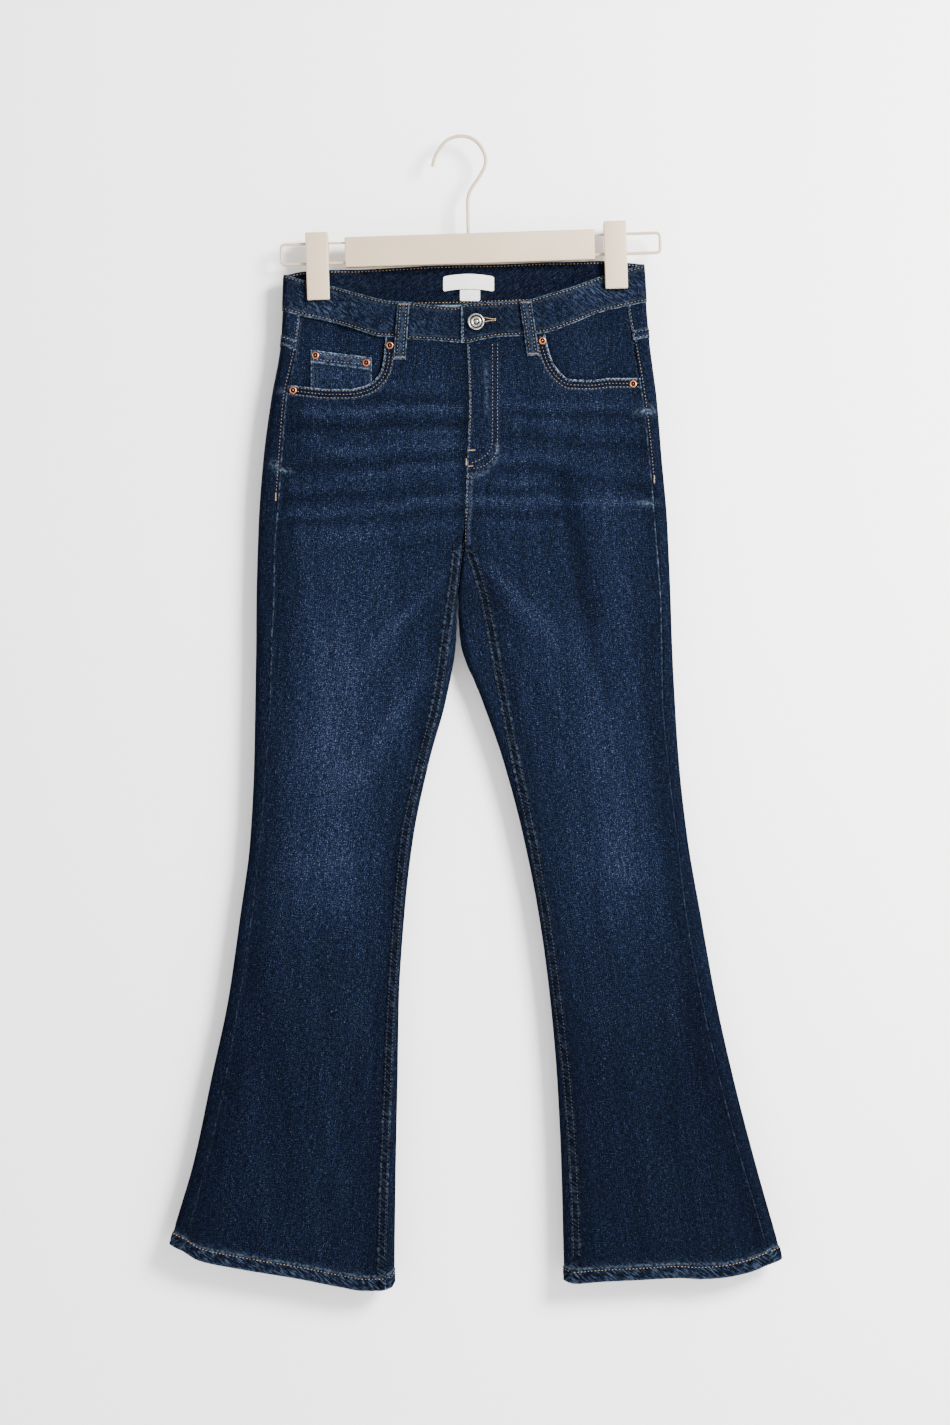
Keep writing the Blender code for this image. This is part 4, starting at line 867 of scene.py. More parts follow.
def sewSeam(look, node, place, zs):  # a row beside a seam of a panel
    z = np.arange(*sorted(zs), 2.0)
    sewOnPanel(look, node, placeShare(panels[node]["sheet"], place, z), z, 0.12)


def sewAcross(look, node, start, end, edge, inset):  # a row at an inset from an edge of a panel
    sheet = panels[node]["sheet"]
    table = shareTable(sheet, [(start, start, 0.0)] + spread(start, end, 150) + [(end, end, 0.0)])
    z = heightsOn(sheet, table, edge) + inset
    sewOnPanel(look, node, sharesAt(sheet, table, z[None, :])[0], z, 0.1)


def bartack(look, points, normals, wide, pitch=0.5):  # points run along the bar, wide is across it
    here, ways, normal = alongPath(points, normals, pitch)
    addStitches(look, here + normal * 0.25, np.cross(normal, ways), normal, wide, 0.62, 0.8)


def bartackOver(look, face, x0, z0, x1, z1, wide=1.5):
    x, z = evenly([(x0, z0), (x1, z1)], 0.6)
    points, normals = over(face, x, z, np.full(len(x), 0.15))
    bartack(look, points, normals, wide)


def offsetPath(path, by, awayFrom):
    path = np.array(path, float)
    way = np.gradient(path, axis=0)
    normal = unit(np.stack([-way[:, 1], way[:, 0]], axis=1))
    normal *= np.sign(np.sum(normal * (path - np.array(awayFrom)), axis=1))[:, None]
    return path + normal * by


def distanceTo(path, x, z):
    best = np.full(np.broadcast(x, z).shape, 1e9)
    for (x0, z0), (x1, z1) in zip(path, path[1:]):
        t = np.clip(((x - x0) * (x1 - x0) + (z - z0) * (z1 - z0)) / ((x1 - x0) ** 2 + (z1 - z0) ** 2), 0, 1)
        best = np.minimum(best, np.hypot(x - x0 - t * (x1 - x0), z - z0 - t * (z1 - z0)))
    return best


# ---- leg panels and yokes ----

hem = {"tall": 14.0, "rise": 0.8, "backLift": 4.0, "stitch": 12.2}
felled = {"wide": 10.0, "rise": 0.75, "rows": (2.1, 7.9)}
fly = {"wide": 31.0, "rise": 1.0, "end": -345.0}
join = 0.06  # how far a panel stops from its seam line


def hemZ(side, x, onBack):
    rows = edges["hem" + side.title()]
    wide = np.clip((x - rows[0][0]) / (rows[-1][0] - rows[0][0]), 0, 1)
    return through(rows, x) + np.where(onBack, hem["backLift"] * np.sin(math.pi * wide), 0)


def scoopOf(side):
    rows = edges["scoop" + side.title()]
    x = np.linspace(rows[0][0], rows[-1][0], 90)
    return list(zip(x, through(rows, x)))


def frontTopZ(side, x):
    rows = edges["scoop" + side.title()]
    seam = through(edges["waistSeamFront"], x)
    inside = x < rows[-1][0] if side == "right" else x > rows[0][0]
    return np.where(inside, np.minimum(seam, through(rows, x)), seam) - join


def edgeZ(name, x, onBack):
    return np.where(onBack, through(edges[name + "Back"], x), through(edges[name + "Front"], x))


def edgeLine(name, lower=0.0):
    return lambda x, onBack: edgeZ(name, x, onBack) - lower


def hemLine(side):
    return lambda x, onBack: hemZ(side, x, onBack)


def belowCrotch(z):
    return smooth(form["crotch"] + 4, form["crotch"] - 8, z)


# rows of points down a leg: close at its top edge, then level and even, then close at its foot
topInsets = [0, 0.35, 0.8, 1.5, 2.4, 3.4, 4.5, 5.7, 7, 8.3, 9.3, 9.9, 10.5, 11.6, 13, 15]
footInsets = [21, 19, 17.2, 16, 15.2, 14.7, 14.3, 13.9, 13, 11.6, 10, 8, 6, 4, 2.4, 1.2, 0.4, 0]


levelRows = {"from": -400, "to": -1095, "front": 3.0, "back": 4.0}


def legRows(side, face, topEdge):
    def rows(sheet, table):
        top, foot = heightsOn(sheet, table, topEdge), heightsOn(sheet, table, hemLine(side))
        first, last, step = levelRows["from"], levelRows["to"], levelRows[face]
        z = [top - inset for inset in topInsets]
        z += [z[-1] + (first - z[-1]) * t for t in np.linspace(0, 1, 60)[1:]]
        z += [np.full_like(top, level) for level in np.arange(first - step, last + 1, -step)]
        end = foot + footInsets[0]
        z += [last + (end - last) * t for t in np.linspace(0, 1, 24)[:-1]]
        return np.array(z + [foot + inset for inset in footInsets])
    return rows


def hemRise(side, points, z):
    above = z - hemZ(side, points[..., 0], False)
    # roping: the hem twists into slanted waves
    wave = uneven(points[..., 0] * 0.62 + above * 0.34, 2.0) * 0.34
    rolled = -0.55 * bell(above, 0.7) - 0.25 * bell(above - hem["stitch"], 0.7)
    pucker = 0.4 * uneven(points[..., 0] * 0.55, 5.0) * bell(above - 19, 6)
    flat = (hem["rise"] + wave) * (1 - smooth(hem["tall"] - 0.1, hem["tall"] + 0.7, above))
    return np.where(above < 40, np.maximum(flat, 0.0) + rolled * (above < hem["tall"]) + pucker, 0.0), above


# a pocket mouth drops almost straight down at one place, which needs closer columns
frontColumns = (at(0, [join, 0.35, 0.8, 1.4, 2.2, 3.2, 4.4, 5.8, 7.4, 9.2])
                + spread((0, 9.2), (1, -34), 54, (0.58, 0.7, 26))
                + at(1, [-34, -32.6, -31.6, -30.9, -30.4, -29.6, -28, -25.6, -23, -20.6, -18.4, -16.4, -14.6,
                         -13, -11.8, -10.9, -10.35, -9.9, -9.3, -8.6, -7.9, -7.1, -6, -5, -4, -2.9, -2.1,
                         -1.4, -0.8, -0.35, -join]))
backColumns = (at(0, [join, 0.35, 0.8, 1.4, 2.1, 2.9, 3.8]) + spread((0, 3.8), (1, 0), 9)
               + spread((1, 0), (1, 24), 16) + spread((1, 24), (3, -26), 64) + spread((3, -26), (3, -12), 6)
               + at(3, [-12, -11, -10.3, -9.8, -9, -8, -6.6, -5.2, -3.9, -2.8, -1.9, -1.1, -0.5, -join]))
stressMarks = [  # where the cloth pulls at the side seams: x, z, half width, half height, amount
    (-194, -337, 6, 4, 0.22), (-184, -343, 7, 2.0, 0.34), (184, -283, 8, 2.6, 0.34),
    (193, -281, 5, 4, 0.25), (188, -377, 9, 2.4, 0.3), (-187, -262, 6, 2.6, 0.15),
]
seamRub = {"right": 0.4, "left": 0.24}  # how far the side seams are rubbed
frontFade = {"right": 0.35, "left": 0.335}
calfFade = {"right": 0.05, "left": 0.08}  # how much darker the front gets below the knee
foldFadeAndShade = 1.4


def spots(table, x, z):
    return sum(amount * np.exp(-((x - cx) / wide) ** 2 - ((z - cz) / tall) ** 2)
               for cx, cz, wide, tall, amount in table)


def makeFront(side):
    sheet = makeSheet(lambda z: frontLines(side, z), -120, -1200, -1, 420)
    scoop, sign = scoops[side], signs[side]

    def raised(points, z, from0, from1):
        x, below = points[..., 0], belowCrotch(z)
        band = 1 - smooth(felled["wide"] - 0.25, felled["wide"] + 0.25, from1)
        puckers = 0.2 * uneven(z * 0.75, 1.0 + sign) * bell(from1 - 5, 4)
        rows = sum(bell(from1 - row, 0.6) for row in felled["rows"]) * 0.2
        total = below * (band * (felled["rise"] + puckers - rows) - 0.3 * bell(from1, 0.45))
        ripple = 0.28 * below * uneven(z * 0.6, 3.0) * bell(from1 - 14, 5)
        if side == "left":
            flap = 1 - smooth(fly["wide"] - 0.4, fly["wide"] + 0.8, from1)
            flap *= smooth(fly["end"], fly["end"] + 14, z)
            total = np.maximum(total, fly["rise"] * flap) - 0.35 * bell(from1, 0.5) * (z > form["crotch"])
            ripple += 0.45 * bell(from1 - 18, 2.6) * smooth(-292, -280, z) * smooth(-226, -236, z)
        # the pocket facing is turned under, so its band stands up a little
        mouth = distanceTo(scoop, x, z)
        total = total + 0.4 * (1 - smooth(9.6, 10.6, mouth)) - 0.4 * bell(mouth, 0.6)
        hemmed, above = hemRise(side, points, z)
        # the side seam's own ridge and the small puckers beside it
        ridge = (0.45 * bell(from0 - 1.4, 1.1) - 0.45 * bell(from0, 0.5)
                 + 0.32 * uneven(z * 0.42 + 0.3 * uneven(z * 0.13, 2.0), 4.0 + sign) * bell(from0 - 4, 4.5))
        inHem = above < hem["tall"] + 1
        return hemmed + np.where(inHem, np.maximum(total * 0.4, 0), total + ripple + ridge)

    def wornAndShaded(points, z, from0, from1):
        x, below = points[..., 0], belowCrotch(z)
        above, mouth = z - hemZ(side, x, False), distanceTo(scoop, x, z)
        waved = z + 2.4 * uneven(x * 0.055 + z * 0.02, 1.0)  # whiskers waver
        # whisker crests are faded; crease valleys are darkened as painted shade
        fade = frontFade[side] + foldFadeAndShade * foldsAt(frontFolds, x, waved, 1) + spots(frontFades, x, z)
        fade += 0.03 * uneven(x * 0.09 + z * 0.012, 2.0) - calfFade[side] * smooth(-800, -980, z)
        # painted shade: darker beside the side seam, where the leg turns round its outer fold, and below the
        # crotch beside the inseam, where it turns round its inner fold; the next line darkens the front just
        # below the waistband
        fade -= 0.08 * (1 - smooth(6, 34, from0)) + 0.07 * below * (1 - smooth(10, 30, from1))
        fade -= 0.05 * (1 - smooth(0, 40, -205 - z))
        inBand = below * (1 - smooth(felled["wide"] - 0.2, felled["wide"] + 0.2, from1))
        rub = 0.74 * bell(mouth, 1.1) + 0.14 * bell(mouth - 9.8, 0.7)
        broken = 0.3 + 0.7 * smooth(-0.3, 0.3, uneven(z * 0.21, 3.0 + sign))
        rub += seamRub[side] * (1 - 0.7 * smooth(-440, -620, z)) * broken * bell(from0 - 0.8, 0.6)
        # light ticks along the inseam band's rows: painted highlights on its puckers
        ticks = smooth(0.25, 0.6, uneven(z * 0.8, 1.0 + sign))
        ticks *= bell(from1 - 1.2, 1.2) + bell(from1 - 8.8, 1.0)
        rub += below * (0.06 * bell(from1 - 0.4, 0.7) + 0.14 * ticks)
        rub += 0.3 * bell(above, 1.1) + 0.16 * bell(above - 15.0, 1.2) + 0.7 * spots(stressMarks, x, z)
        if side == "left":
            rise = z > form["crotch"]
            rub += rise * (0.34 * bell(from1 - 0.6, 0.7) + 0.08 * bell(from1 - 5, 2) * (z < fly["end"]))
            # pale line down the ridge over the zip: partly rub wear, partly a painted highlight
            rub += 0.1 * bell(from1 - 18, 1.8) * smooth(-292, -280, z) * smooth(-226, -236, z)
            rub += 0.12 * bell(distanceTo([(36, -316), (33, -332), (24, -344), (8, -350)], x, z), 2.2)
        else:
            # darker beside the centre front above the crotch: painted shade under the fly's lapped edge
            fade -= 0.15 * bell(from1, 7) * (z > form["crotch"])
        fade -= 0.18 * inBand + 0.06 * (above < hem["tall"])
        # darker over the band of stitch rows round the pocket mouth: painted shade in their grooves
        fade -= 0.1 * (1 - smooth(9.6, 11, mouth)) * smooth(1, 2.5, mouth)
        rope = 0.22 * inBand + 0.6 * (above < hem["tall"] - 0.3) + 0.25 * bell(above - 17, 3)
        return fade, rub, rope

    rows = legRows(side, "front", lambda x, onBack: frontTopZ(side, x))
    makePanel("front_" + side, sheet, frontColumns, rows, raised, wornAndShaded)


def makeBack(side):
    sheet = makeSheet(lambda z: backLines(side, z), -120, -1200, 1, 520)
    sign = signs[side]

    def raised(points, z, from0, from1):
        hemmed, above = hemRise(side, points, z)
        dip = 0.3 * uneven(z * 0.42, 4.5 + sign) * bell(from0 - 4, 4)
        dip -= 0.3 * bell(from0, 0.8) + 0.25 * bell(from1, 0.7)
        seat = 0.0
        if side == "left":  # the felled seat seam lies on the left back
            seat = 0.7 * (1 - smooth(felled["wide"] - 0.2, felled["wide"] + 0.5, from1))
            seat += 0.2 * uneven(z * 0.7, 1.5) * bell(from1 - 5, 5)
            seat *= smooth(form["crotch"] - 2, form["crotch"] + 8, z)
        return np.where(above < hem["tall"] + 1, hemmed, hemmed + dip + seat)

    def wornAndShaded(points, z, from0, from1):
        x = points[..., 0]
        above = z - hemZ(side, x, False)
        onFront = from0 < 13
        fade = 0.33 + (foldsAt(backFolds, x, z, 1) + spots(backFades, x, z)) * (1 - onFront)
        # darker down the calves and in the hem; the last term darkens the strip round the outer fold as
        # painted shade
        fade -= 0.05 * smooth(-820, -1000, z) + 0.06 * (above < hem["tall"]) + 0.05 * onFront
        rub = 0.25 * bell(above, 1.3) + 0.18 * bell(above - 15.2, 1.3)
        rub += 0.7 * spots(stressMarks, x, z) * (from0 < 22) * (z > -420)
        rope = 0.6 * (above < hem["tall"] - 0.3) + 0.4 * bell(above - 17, 3)
        if side == "left":
            seat = z > form["crotch"]
            rub += 0.45 * (bell(from1 - 0.6, 0.9) + 0.5 * bell(from1 - felled["wide"], 0.8)) * seat
            rope += 0.5 * (from1 < felled["wide"]) * seat
        return fade, rub, rope

    rows = legRows(side, "back", edgeLine("yoke", join))
    makePanel("back_" + side, sheet, backColumns, rows, raised, wornAndShaded)
    makePanel("yoke_" + side, sheet, backColumns, yokeRows, yokeRaised, yokeWorn)


yokeInsets = (11.4, 10.7, 10.2, 9.8, 9, 8, 6.5, 5, 3.6, 2.4, 1.4, 0.6, 0)


def yokeRows(sheet, table):
    high = heightsOn(sheet, table, edgeLine("waistSeam")) - join
    low = heightsOn(sheet, table, edgeLine("yoke")) + join
    z = [high + (low + 12.5 - high) * t for t in np.linspace(0, 1, 14)]
    return np.array(z + [low + inset for inset in yokeInsets])


def aboveYoke(points, z):
    return z - edgeZ("yoke", points[..., 0], points[..., 1] > depthAt("middle", z))


def yokeRaised(points, z, from0, from1):
    up = aboveYoke(points, z)
    puckered = 0.7 + 0.2 * uneven(points[..., 0] * 0.7, 2.5) * bell(up - 5, 4)
    return (1 - smooth(felled["wide"] - 0.2, felled["wide"] + 0.5, up)) * puckered - 0.4 * bell(up, 0.6)


def yokeWorn(points, z, from0, from1):
    up = aboveYoke(points, z)
    rub = 0.34 * bell(up - 0.6, 0.8) + 0.24 * bell(up - felled["wide"], 0.7) + 0.2 * bell(from0 - 0.6, 0.7)
    return 0.33, rub, 0.4 * (up < felled["wide"])


scoops = {side: scoopOf(side) for side in signs}
for side in signs:
    makeFront(side)
    makeBack(side)
    print("leg made:", side)

# ---- waistband ----

waistband = {
    "thick": 2.4, "proud": 0.6, "rows": (2.4, 2.6),
    "fades": [(-118, -178, 40, 14, 0.1), (-40, -196, 30, 12, 0.06), (150, -160, 40, 16, 0.04),
              (20, -190, 22, 18, -0.06)],
    "streaks": [(-140, -176, 36, 18, 0.75), (-60, -196, 28, 14, 0.45), (145, -156, 44, 20, 0.7),
                (70, -185, 26, 12, 0.3)],
}


def makeWaistband():
    sheet = makeSheet(waistLines, -110, -230, 1, 1200)
    ends = [0, 0.3, 0.8, 1.5, 2.4, 3.6, 5]
    columns = (at(0, ends) + spread((0, 5), (1, -16), 74) + spread((1, -16), (1, 16), 22)
               + spread((1, 16), (2, -16), 112) + spread((2, -16), (2, 16), 22)
               + spread((2, 16), (3, -5), 86) + at(3, [-e for e in reversed(ends)]))
    table = shareTable(sheet, columns)
    high = heightsOn(sheet, table, edgeLine("waistTop"))
    low = heightsOn(sheet, table, edgeLine("waistSeam")) + join
    insets = [0, 0.35, 0.8, 1.4, 2.1, 2.8, 3.6, 4.8]
    z = [high - inset for inset in insets]
    z += [high - 4.8 + (low - high + 9.6) * t for t in np.linspace(0, 1, 13)[1:-1]]
    z = np.array(z + [low + inset for inset in reversed(insets)])
    share = sharesAt(sheet, table, z)
    points, normals = readSheet(sheet, share, z)
    length = lengthAt(sheet, z)
    down, up = high - z, z - low
    from0, from1 = share * length, (1 - share) * length
    onTop = share < np.interp(z, sheet["levels"], sheet["knots"][:, 1])
    lift = lap["rise"] * (1 - smooth(*lap["fade"], points[..., 0])) * onTop
    rounded = 0.55 * (bell(down, 0.7) + bell(up, 0.7) + bell(from0, 0.6) + bell(from1, 0.6))
    rows = 0.22 * (bell(down - waistband["rows"][0], 0.8) + bell(up - waistband["rows"][1], 0.8))
    soft = 0.3 * uneven(from0 * 0.16 + z * 0.08, 3.0) * smooth(0, 6, down) * smooth(0, 6, up)
    soft += 0.16 * uneven(from0 * 0.7, 1.0) * (bell(down - 4.5, 3) + bell(up - 4.5, 3))
    outside = points + normals * (lift + waistband["proud"] + soft - rows - rounded)[..., None]
    inside = points + normals * (lift + waistband["proud"] - waistband["thick"] + rounded + rows)[..., None]
    x, onFront = points[..., 0], normals[..., 1] < 0
    fade = 0.27 + 0.03 * uneven(from0 * 0.05, 2.0) + onFront * spots(waistband["fades"], x, z)
    # darker along both stitch rows: painted shade in their grooves
    fade -= 0.24 * (bell(down - 2.6, 1.2) + bell(up - 2.8, 1.2))
    rub = 0.26 * bell(down - 0.3, 0.8) + 0.36 * bell(up - 0.2, 0.8)
    rub += 0.44 * bell(from0 - 0.5, 1.1) + 0.3 * bell(from1, 1)
    rub += 0.05 * (bell(down - 4.6, 1.4) + bell(up - 4.8, 1.4))
    wearAndShade = wearAndShadeOf(z.shape, fade, rub, 0.05 + 0.8 * onFront * spots(waistband["streaks"], x, z))
    wearIn = wearAndShadeOf(z.shape, 0.22, 0.3 * bell(down, 1.0) + 0.2 * bell(up, 1.0), 0.1)
    cloth = np.stack([from0, z], axis=-1)
    makeWall("waistband_cloth", outside, inside, cloth, wearAndShade, wearIn, ["denim"], "waistband", True)
    # a row near the top edge and one near the seam, on both faces
    half = 0.5 * (sheet["knots"][0, 1] + sheet["knots"][-1, 1])
    ok = slice(3, -3)
    for level in (high - waistband["rows"][0], low + waistband["rows"][1]):
        s = sharesAt(sheet, table, level[None, :])[0]
        p, n = readSheet(sheet, s, level)
        rise = lap["rise"] * (1 - smooth(*lap["fade"], p[:, 0])) * (s < half)
        sewLine("tan", (p + n * (rise + waistband["proud"] - 0.04)[:, None])[ok], n[ok])
        shown = p + n * (rise + waistband["proud"] - waistband["thick"] + 0.1)[:, None]
        sewLine("gold", shown[ok], -n[ok], 1.05)
    for k, place, rise in ((0, (0, 2.4), lap["rise"]), (-1, (3, -2.4), 0)):  # across the two ends
        level = np.linspace(high[k] - 2.4, low[k] + 2.6, 14)
        p, n = readSheet(sheet, placeShare(sheet, place, level), level)
        sewLine("tan", p + n * (rise + waistband["proud"] - 0.04), n)


makeWaistband()
print("waistband made")

# ---- what lies on the panels, or under them ----


def makePatch(node, kind, face, x, z, out, thick, wornAndShaded, materials=("denim", "wrongSide"),
              under=False):
    inside, normal = over(face, x, z, np.broadcast_to(out, x.shape), under)
    outside = inside + normal * np.broadcast_to(thick, x.shape)[..., None]
    makeWall(node + kind, outside, inside, np.stack([x, z], axis=-1), wearAndShadeOf(x.shape, *wornAndShaded),
             wearAndShadeOf(x.shape, 0.5), materials, node)
    return outside, normal


def sewGrid(look, outside, normals, across, down, scale=1.0):  # a row through shares of a patch's grid
    rows, cols = outside.shape[:2]
    points, ways = between((outside, normals), down * (rows - 1.001), across * (cols - 1.001))
    sewLine(look, points + ways * 0.1, ways, scale)


facing = {"low": -274.0, "thick": 1.0, "inner": {"right": -66.0, "left": 71.0}, "sideGap": 0.8,
          "under": {"right": 1.9, "left": 0.6}, "fade": {"right": 0.33, "left": 0.29}}


def makeFacing(side):
    sign = signs[side]
    drop, across = np.linspace(0, 1, 36)[:, None], np.linspace(0, 1, 48)[None, :]
    corner = through(edges["waistSeamFront"], sign * 168) - 0.3
    level = corner + (facing["low"] - corner) * drop
    outer = legAt(side, "sideSeam", level) - sign * facing["sideGap"]
    x = outer + (facing["inner"][side] - outer) * across
    high = through(edges["waistSeamFront"], x) - 0.3
    z = high + (facing["low"] - high) * drop
    ripple = 0.16 * uneven(x * 0.11 + z * 0.05, 2.0) - 0.16
    fades = [(sign * 132, -214, 30, 16, 0.06), (sign * 120, -243, 30, 9, 0.05)]
    # darker beside the scoop edge: painted shade where the front panel overhangs the facing
    fade = facing["fade"][side] + spots(fades, x, z) - 0.12 * bell(distanceTo(scoops[side], x, z), 4)
    makePatch("pocket_facing_" + side, "_cloth", "front", x, z,
              -facing["under"][side] - facing["thick"], facing["thick"] + ripple,
              (fade, 0.08 * bell(abs(x - outer), 1.4), 0), under=True)


coin = {"sides": (-157.0, -94.2), "top": [(-157, -218.4), (-94.2, -227.6)], "low": -268.0, "thick": 1.0,
        "rows": (2.4, 8.4), "sideRows": (2.6, 6.4), "hem": 11.5}


def makeCoinPocket():
    x, drop = np.meshgrid(np.linspace(*coin["sides"], 54), np.linspace(0, 1, 44) ** 1.25)
    high = through(coin["top"], x)
    z = high + (coin["low"] - high) * drop
    down, fromSide = high - z, np.minimum(x - coin["sides"][0], coin["sides"][1] - x)
    inMouth = smooth(-257, -250, z)
    rise = 0.35 * (1 - smooth(coin["hem"] - 0.6, coin["hem"] + 0.6, down))
    rise += 0.2 * (1 - smooth(8, 9.5, fromSide)) * inMouth
    rise -= 0.4 * bell(fromSide, 0.7) + 0.35 * bell(down, 0.7)
    rise -= sum(0.14 * bell(down - row, 0.8) for row in coin["rows"])
    rise += 0.12 * uneven(x * 0.3 + z * 0.1, 4.0) * smooth(0, 4, down) * inMouth
    rub = 0.66 * bell(down - 0.2, 1.0) + 0.5 * bell(fromSide - 0.2, 0.8)
    rub += 0.36 * bell(down - coin["hem"] - 0.6, 0.8) + 0.1 * bell(down - 5, 2)
    # a darker line just under the hem's edge: painted shade where the hem stands up
    fade = 0.41 + spots([(-126, -244, 26, 9, 0.08)], x, z) - 0.1 * bell(down - 13.5, 1.6)
    outside, normals = makePatch("coin_pocket", "_cloth", "front", x, z, -0.3 - coin["thick"],
                                 coin["thick"] + rise, (fade, rub, 0.35 * (down < coin["hem"])), under=True)
    wide, tall = coin["sides"][1] - coin["sides"][0], 44.0
    t = np.linspace(0.02, 0.98, 60)
    for row in coin["rows"]:
        sewGrid("tan", outside, normals, t, 0 * t + (row / tall) ** 0.8)
    for row in coin["sideRows"]:
        for across in (row / wide, 1 - row / wide):
            sewGrid("navy", outside, normals, 0 * t + across, 0.24 + 0.7 * t)


backPocket = {"x": 99.0, "top": (-252.0, -258.0), "half": (68.0, 58.0), "tall": 132.0, "point": 17.0,
              "gap": 0.5, "hem": 21.0, "rows": (2.2, 8.0), "hemRows": (13.5, 19.0), "columns": 58,
              "rowCount": 60}


def makeBackPocket(side):
    sign, columns = signs[side], backPocket["columns"]

    def closer(n):  # closer rows and columns beside the edges
        t = np.linspace(0, 1, n)
        return t - 0.11 * np.sin(2 * math.pi * t)

    u, down = 2 * closer(columns) - 1, closer(backPocket["rowCount"])[:, None]
    half = backPocket["half"][0] + (backPocket["half"][1] - backPocket["half"][0]) * down
    x = sign * (backPocket["x"] - u * half)
    top = backPocket["top"][0] + (backPocket["top"][1] - backPocket["top"][0]) * (u + 1) / 2
    foot = top - backPocket["tall"] - backPocket["point"] * (1 - abs(u))
    z = top + (foot - top) * down
    outline = [(x[0, 0], z[0, 0]), (x[-1, 0], z[-1, 0]), (sign * backPocket["x"], z[-1].min()),
               (x[-1, -1], z[-1, -1]), (x[0, -1], z[0, -1])]
    fromEdge, below = distanceTo(outline, x, z), top - z
    rise = 0.45 * (1 - smooth(8.6, 10, fromEdge))
    rise += 0.5 * (1 - smooth(backPocket["hem"] - 0.8, backPocket["hem"] + 0.8, below))
    rise += 0.35 * uneven(x * 0.06 + z * 0.045, 3.0 + sign)
    rise -= 0.45 * bell(fromEdge, 0.8) + 0.4 * bell(below, 0.8)
    rise += 0.2 * uneven(x * 0.34 + z * 0.3, 1.0) * bell(fromEdge - 5, 5)
    rub = 0.55 * bell(fromEdge - 0.3, 1.3) + 0.7 * bell(below - 0.3, 1.3)
    rub += 0.3 * bell(below - backPocket["hem"] - 0.8, 1.0)
    rub += 0.25 * bell(fromEdge - 9.6, 1.0)
    fade = 0.36 + spots([(sign * 99, -318, 44, 48, 0.1)], x, z)
    outside = makePatch("back_pocket_" + side, "_cloth", "back", x, z, backPocket["gap"],
                        clothThick + rise, (fade, rub, 0.35 * (fromEdge < 9)))[0]
    surface = BVHTree.FromPolygons([Vector(p) for p in outside.reshape(-1, 3)], [
        (k, k + 1, k + 1 + columns, k + columns) for k in range(columns * (backPocket["rowCount"] - 1))
        if (k + 1) % columns])

    def hitsAt(px, pz):  # where rays from behind meet the pocket
        hits = [surface.ray_cast(Vector((a, 90, b)), Vector((0, -1, 0))) for a, b in zip(px, pz)]
        return [h[:2] for h in hits if h[0]]

    def sewPath(path):
        hits = hitsAt(*evenly(path))
        ways = np.array([way if way.y > 0 else -way for place, way in hits])
        sewLine("tan", np.array([place for place, way in hits]) + ways * 0.1, ways)

    for row in backPocket["rows"]:
        centre, narrow = sign * backPocket["x"], 1 - row / 62
        shrunk = [(centre + (px - centre) * narrow, pz) for px, pz in outline]
        shrunk[2] = (shrunk[2][0], shrunk[2][1] + row)
        shrunk[1], shrunk[3] = ((shrunk[k][0], shrunk[k][1] + row * 0.9) for k in (1, 3))
        sewPath(shrunk)
    for row in backPocket["hemRows"]:
        sewPath([(x[0, 1], z[0, 1] - row), (x[0, -2], z[0, -2] - row)])
    for k in (1, -2):
        hits = hitsAt([x[0, k]] * 16, z[0, k] - 2.5 - 0.6 * np.arange(16))
        ways = np.tile([0.0, 1.0, 0.0], (len(hits), 1))
        if len(hits) > 3:
            bartack("gold", np.array([place for place, way in hits]), ways, 2.4)


for side in signs:
    makeFacing(side)
    makeBackPocket(side)
makeCoinPocket()
print("pockets made")

# ---- fly shield and zip ----

zipper = {"x": (-2.0, 26.0), "z": (-215.0, -338.0), "tape": 0.8, "pitch": 2.0, "tooth": (3.4, 1.1, 1.0),
          "apart": 1.1}
shield = {"x": (-13.0, 38.0), "z": (-214.0, -352.0), "thick": 1.2}


def makeFly():
    x, z = np.meshgrid(np.linspace(*shield["x"], 20), np.linspace(*shield["z"], 46))
    edge = np.minimum(x - shield["x"][0], shield["x"][1] - x)
    makePatch("fly_shield", "_cloth", "front", x, z, -0.6 - zipper["tape"] - shield["thick"],
              shield["thick"], (0.3, 0.35 * bell(edge, 1.2), 0), under=True)
    x, z = np.meshgrid(np.linspace(*zipper["x"], 15), np.linspace(*zipper["z"], 44))
    makePatch("zip", "_tape", "front", x, z, -0.3 - zipper["tape"], zipper["tape"], (0.3, 0, 0),
              ["tape"], under=True)

    tooth = makeBlock(zipper["tooth"], (0, 0, 0), 0.18, 1)
    shape = np.array([v.co for v in tooth.data.vertices])
    faces = [tuple(p.vertices) for p in tooth.data.polygons]
    bpy.data.objects.remove(tooth)
    count = int((zipper["z"][0] - zipper["z"][1] - 8) / zipper["pitch"])
    levels = zipper["z"][0] - 6 - zipper["pitch"] * np.arange(count)
    sideways = np.where(np.arange(count) % 2 == 0, zipper["apart"], -zipper["apart"])
    places, normals = over("front", 12 + sideways, levels, np.full(count, -0.3 - zipper["tape"] / 2), True)
    across = np.tile([1.0, 0.0, 0.0], (count, 1))
    points = copiesAt(shape, places, across, normals, np.cross(across, normals))
    makeCopies("zip_teeth", points, faces, "brass", ["zip"])


def makeCopies(name, points, faces, look, nodes):  # one mesh of many equal small shapes
    count, size = points.shape[:2]
    flat = np.array([k for face in faces for k in face])
    starts = np.concatenate([[0], np.cumsum([len(face) for face in faces])])
    loops = (np.arange(count)[:, None] * size + flat[None, :]).ravel()
    begin = (np.arange(count)[:, None] * len(flat) + starts[None, :-1]).ravel()
    mesh = newMesh(name, points.reshape(-1, 3), loops, begin)
    shadeSmooth(mesh, 50)
    finishPiece(name, mesh, [look], nodes)


makeFly()
print("fly made")

# ---- belt loops ----

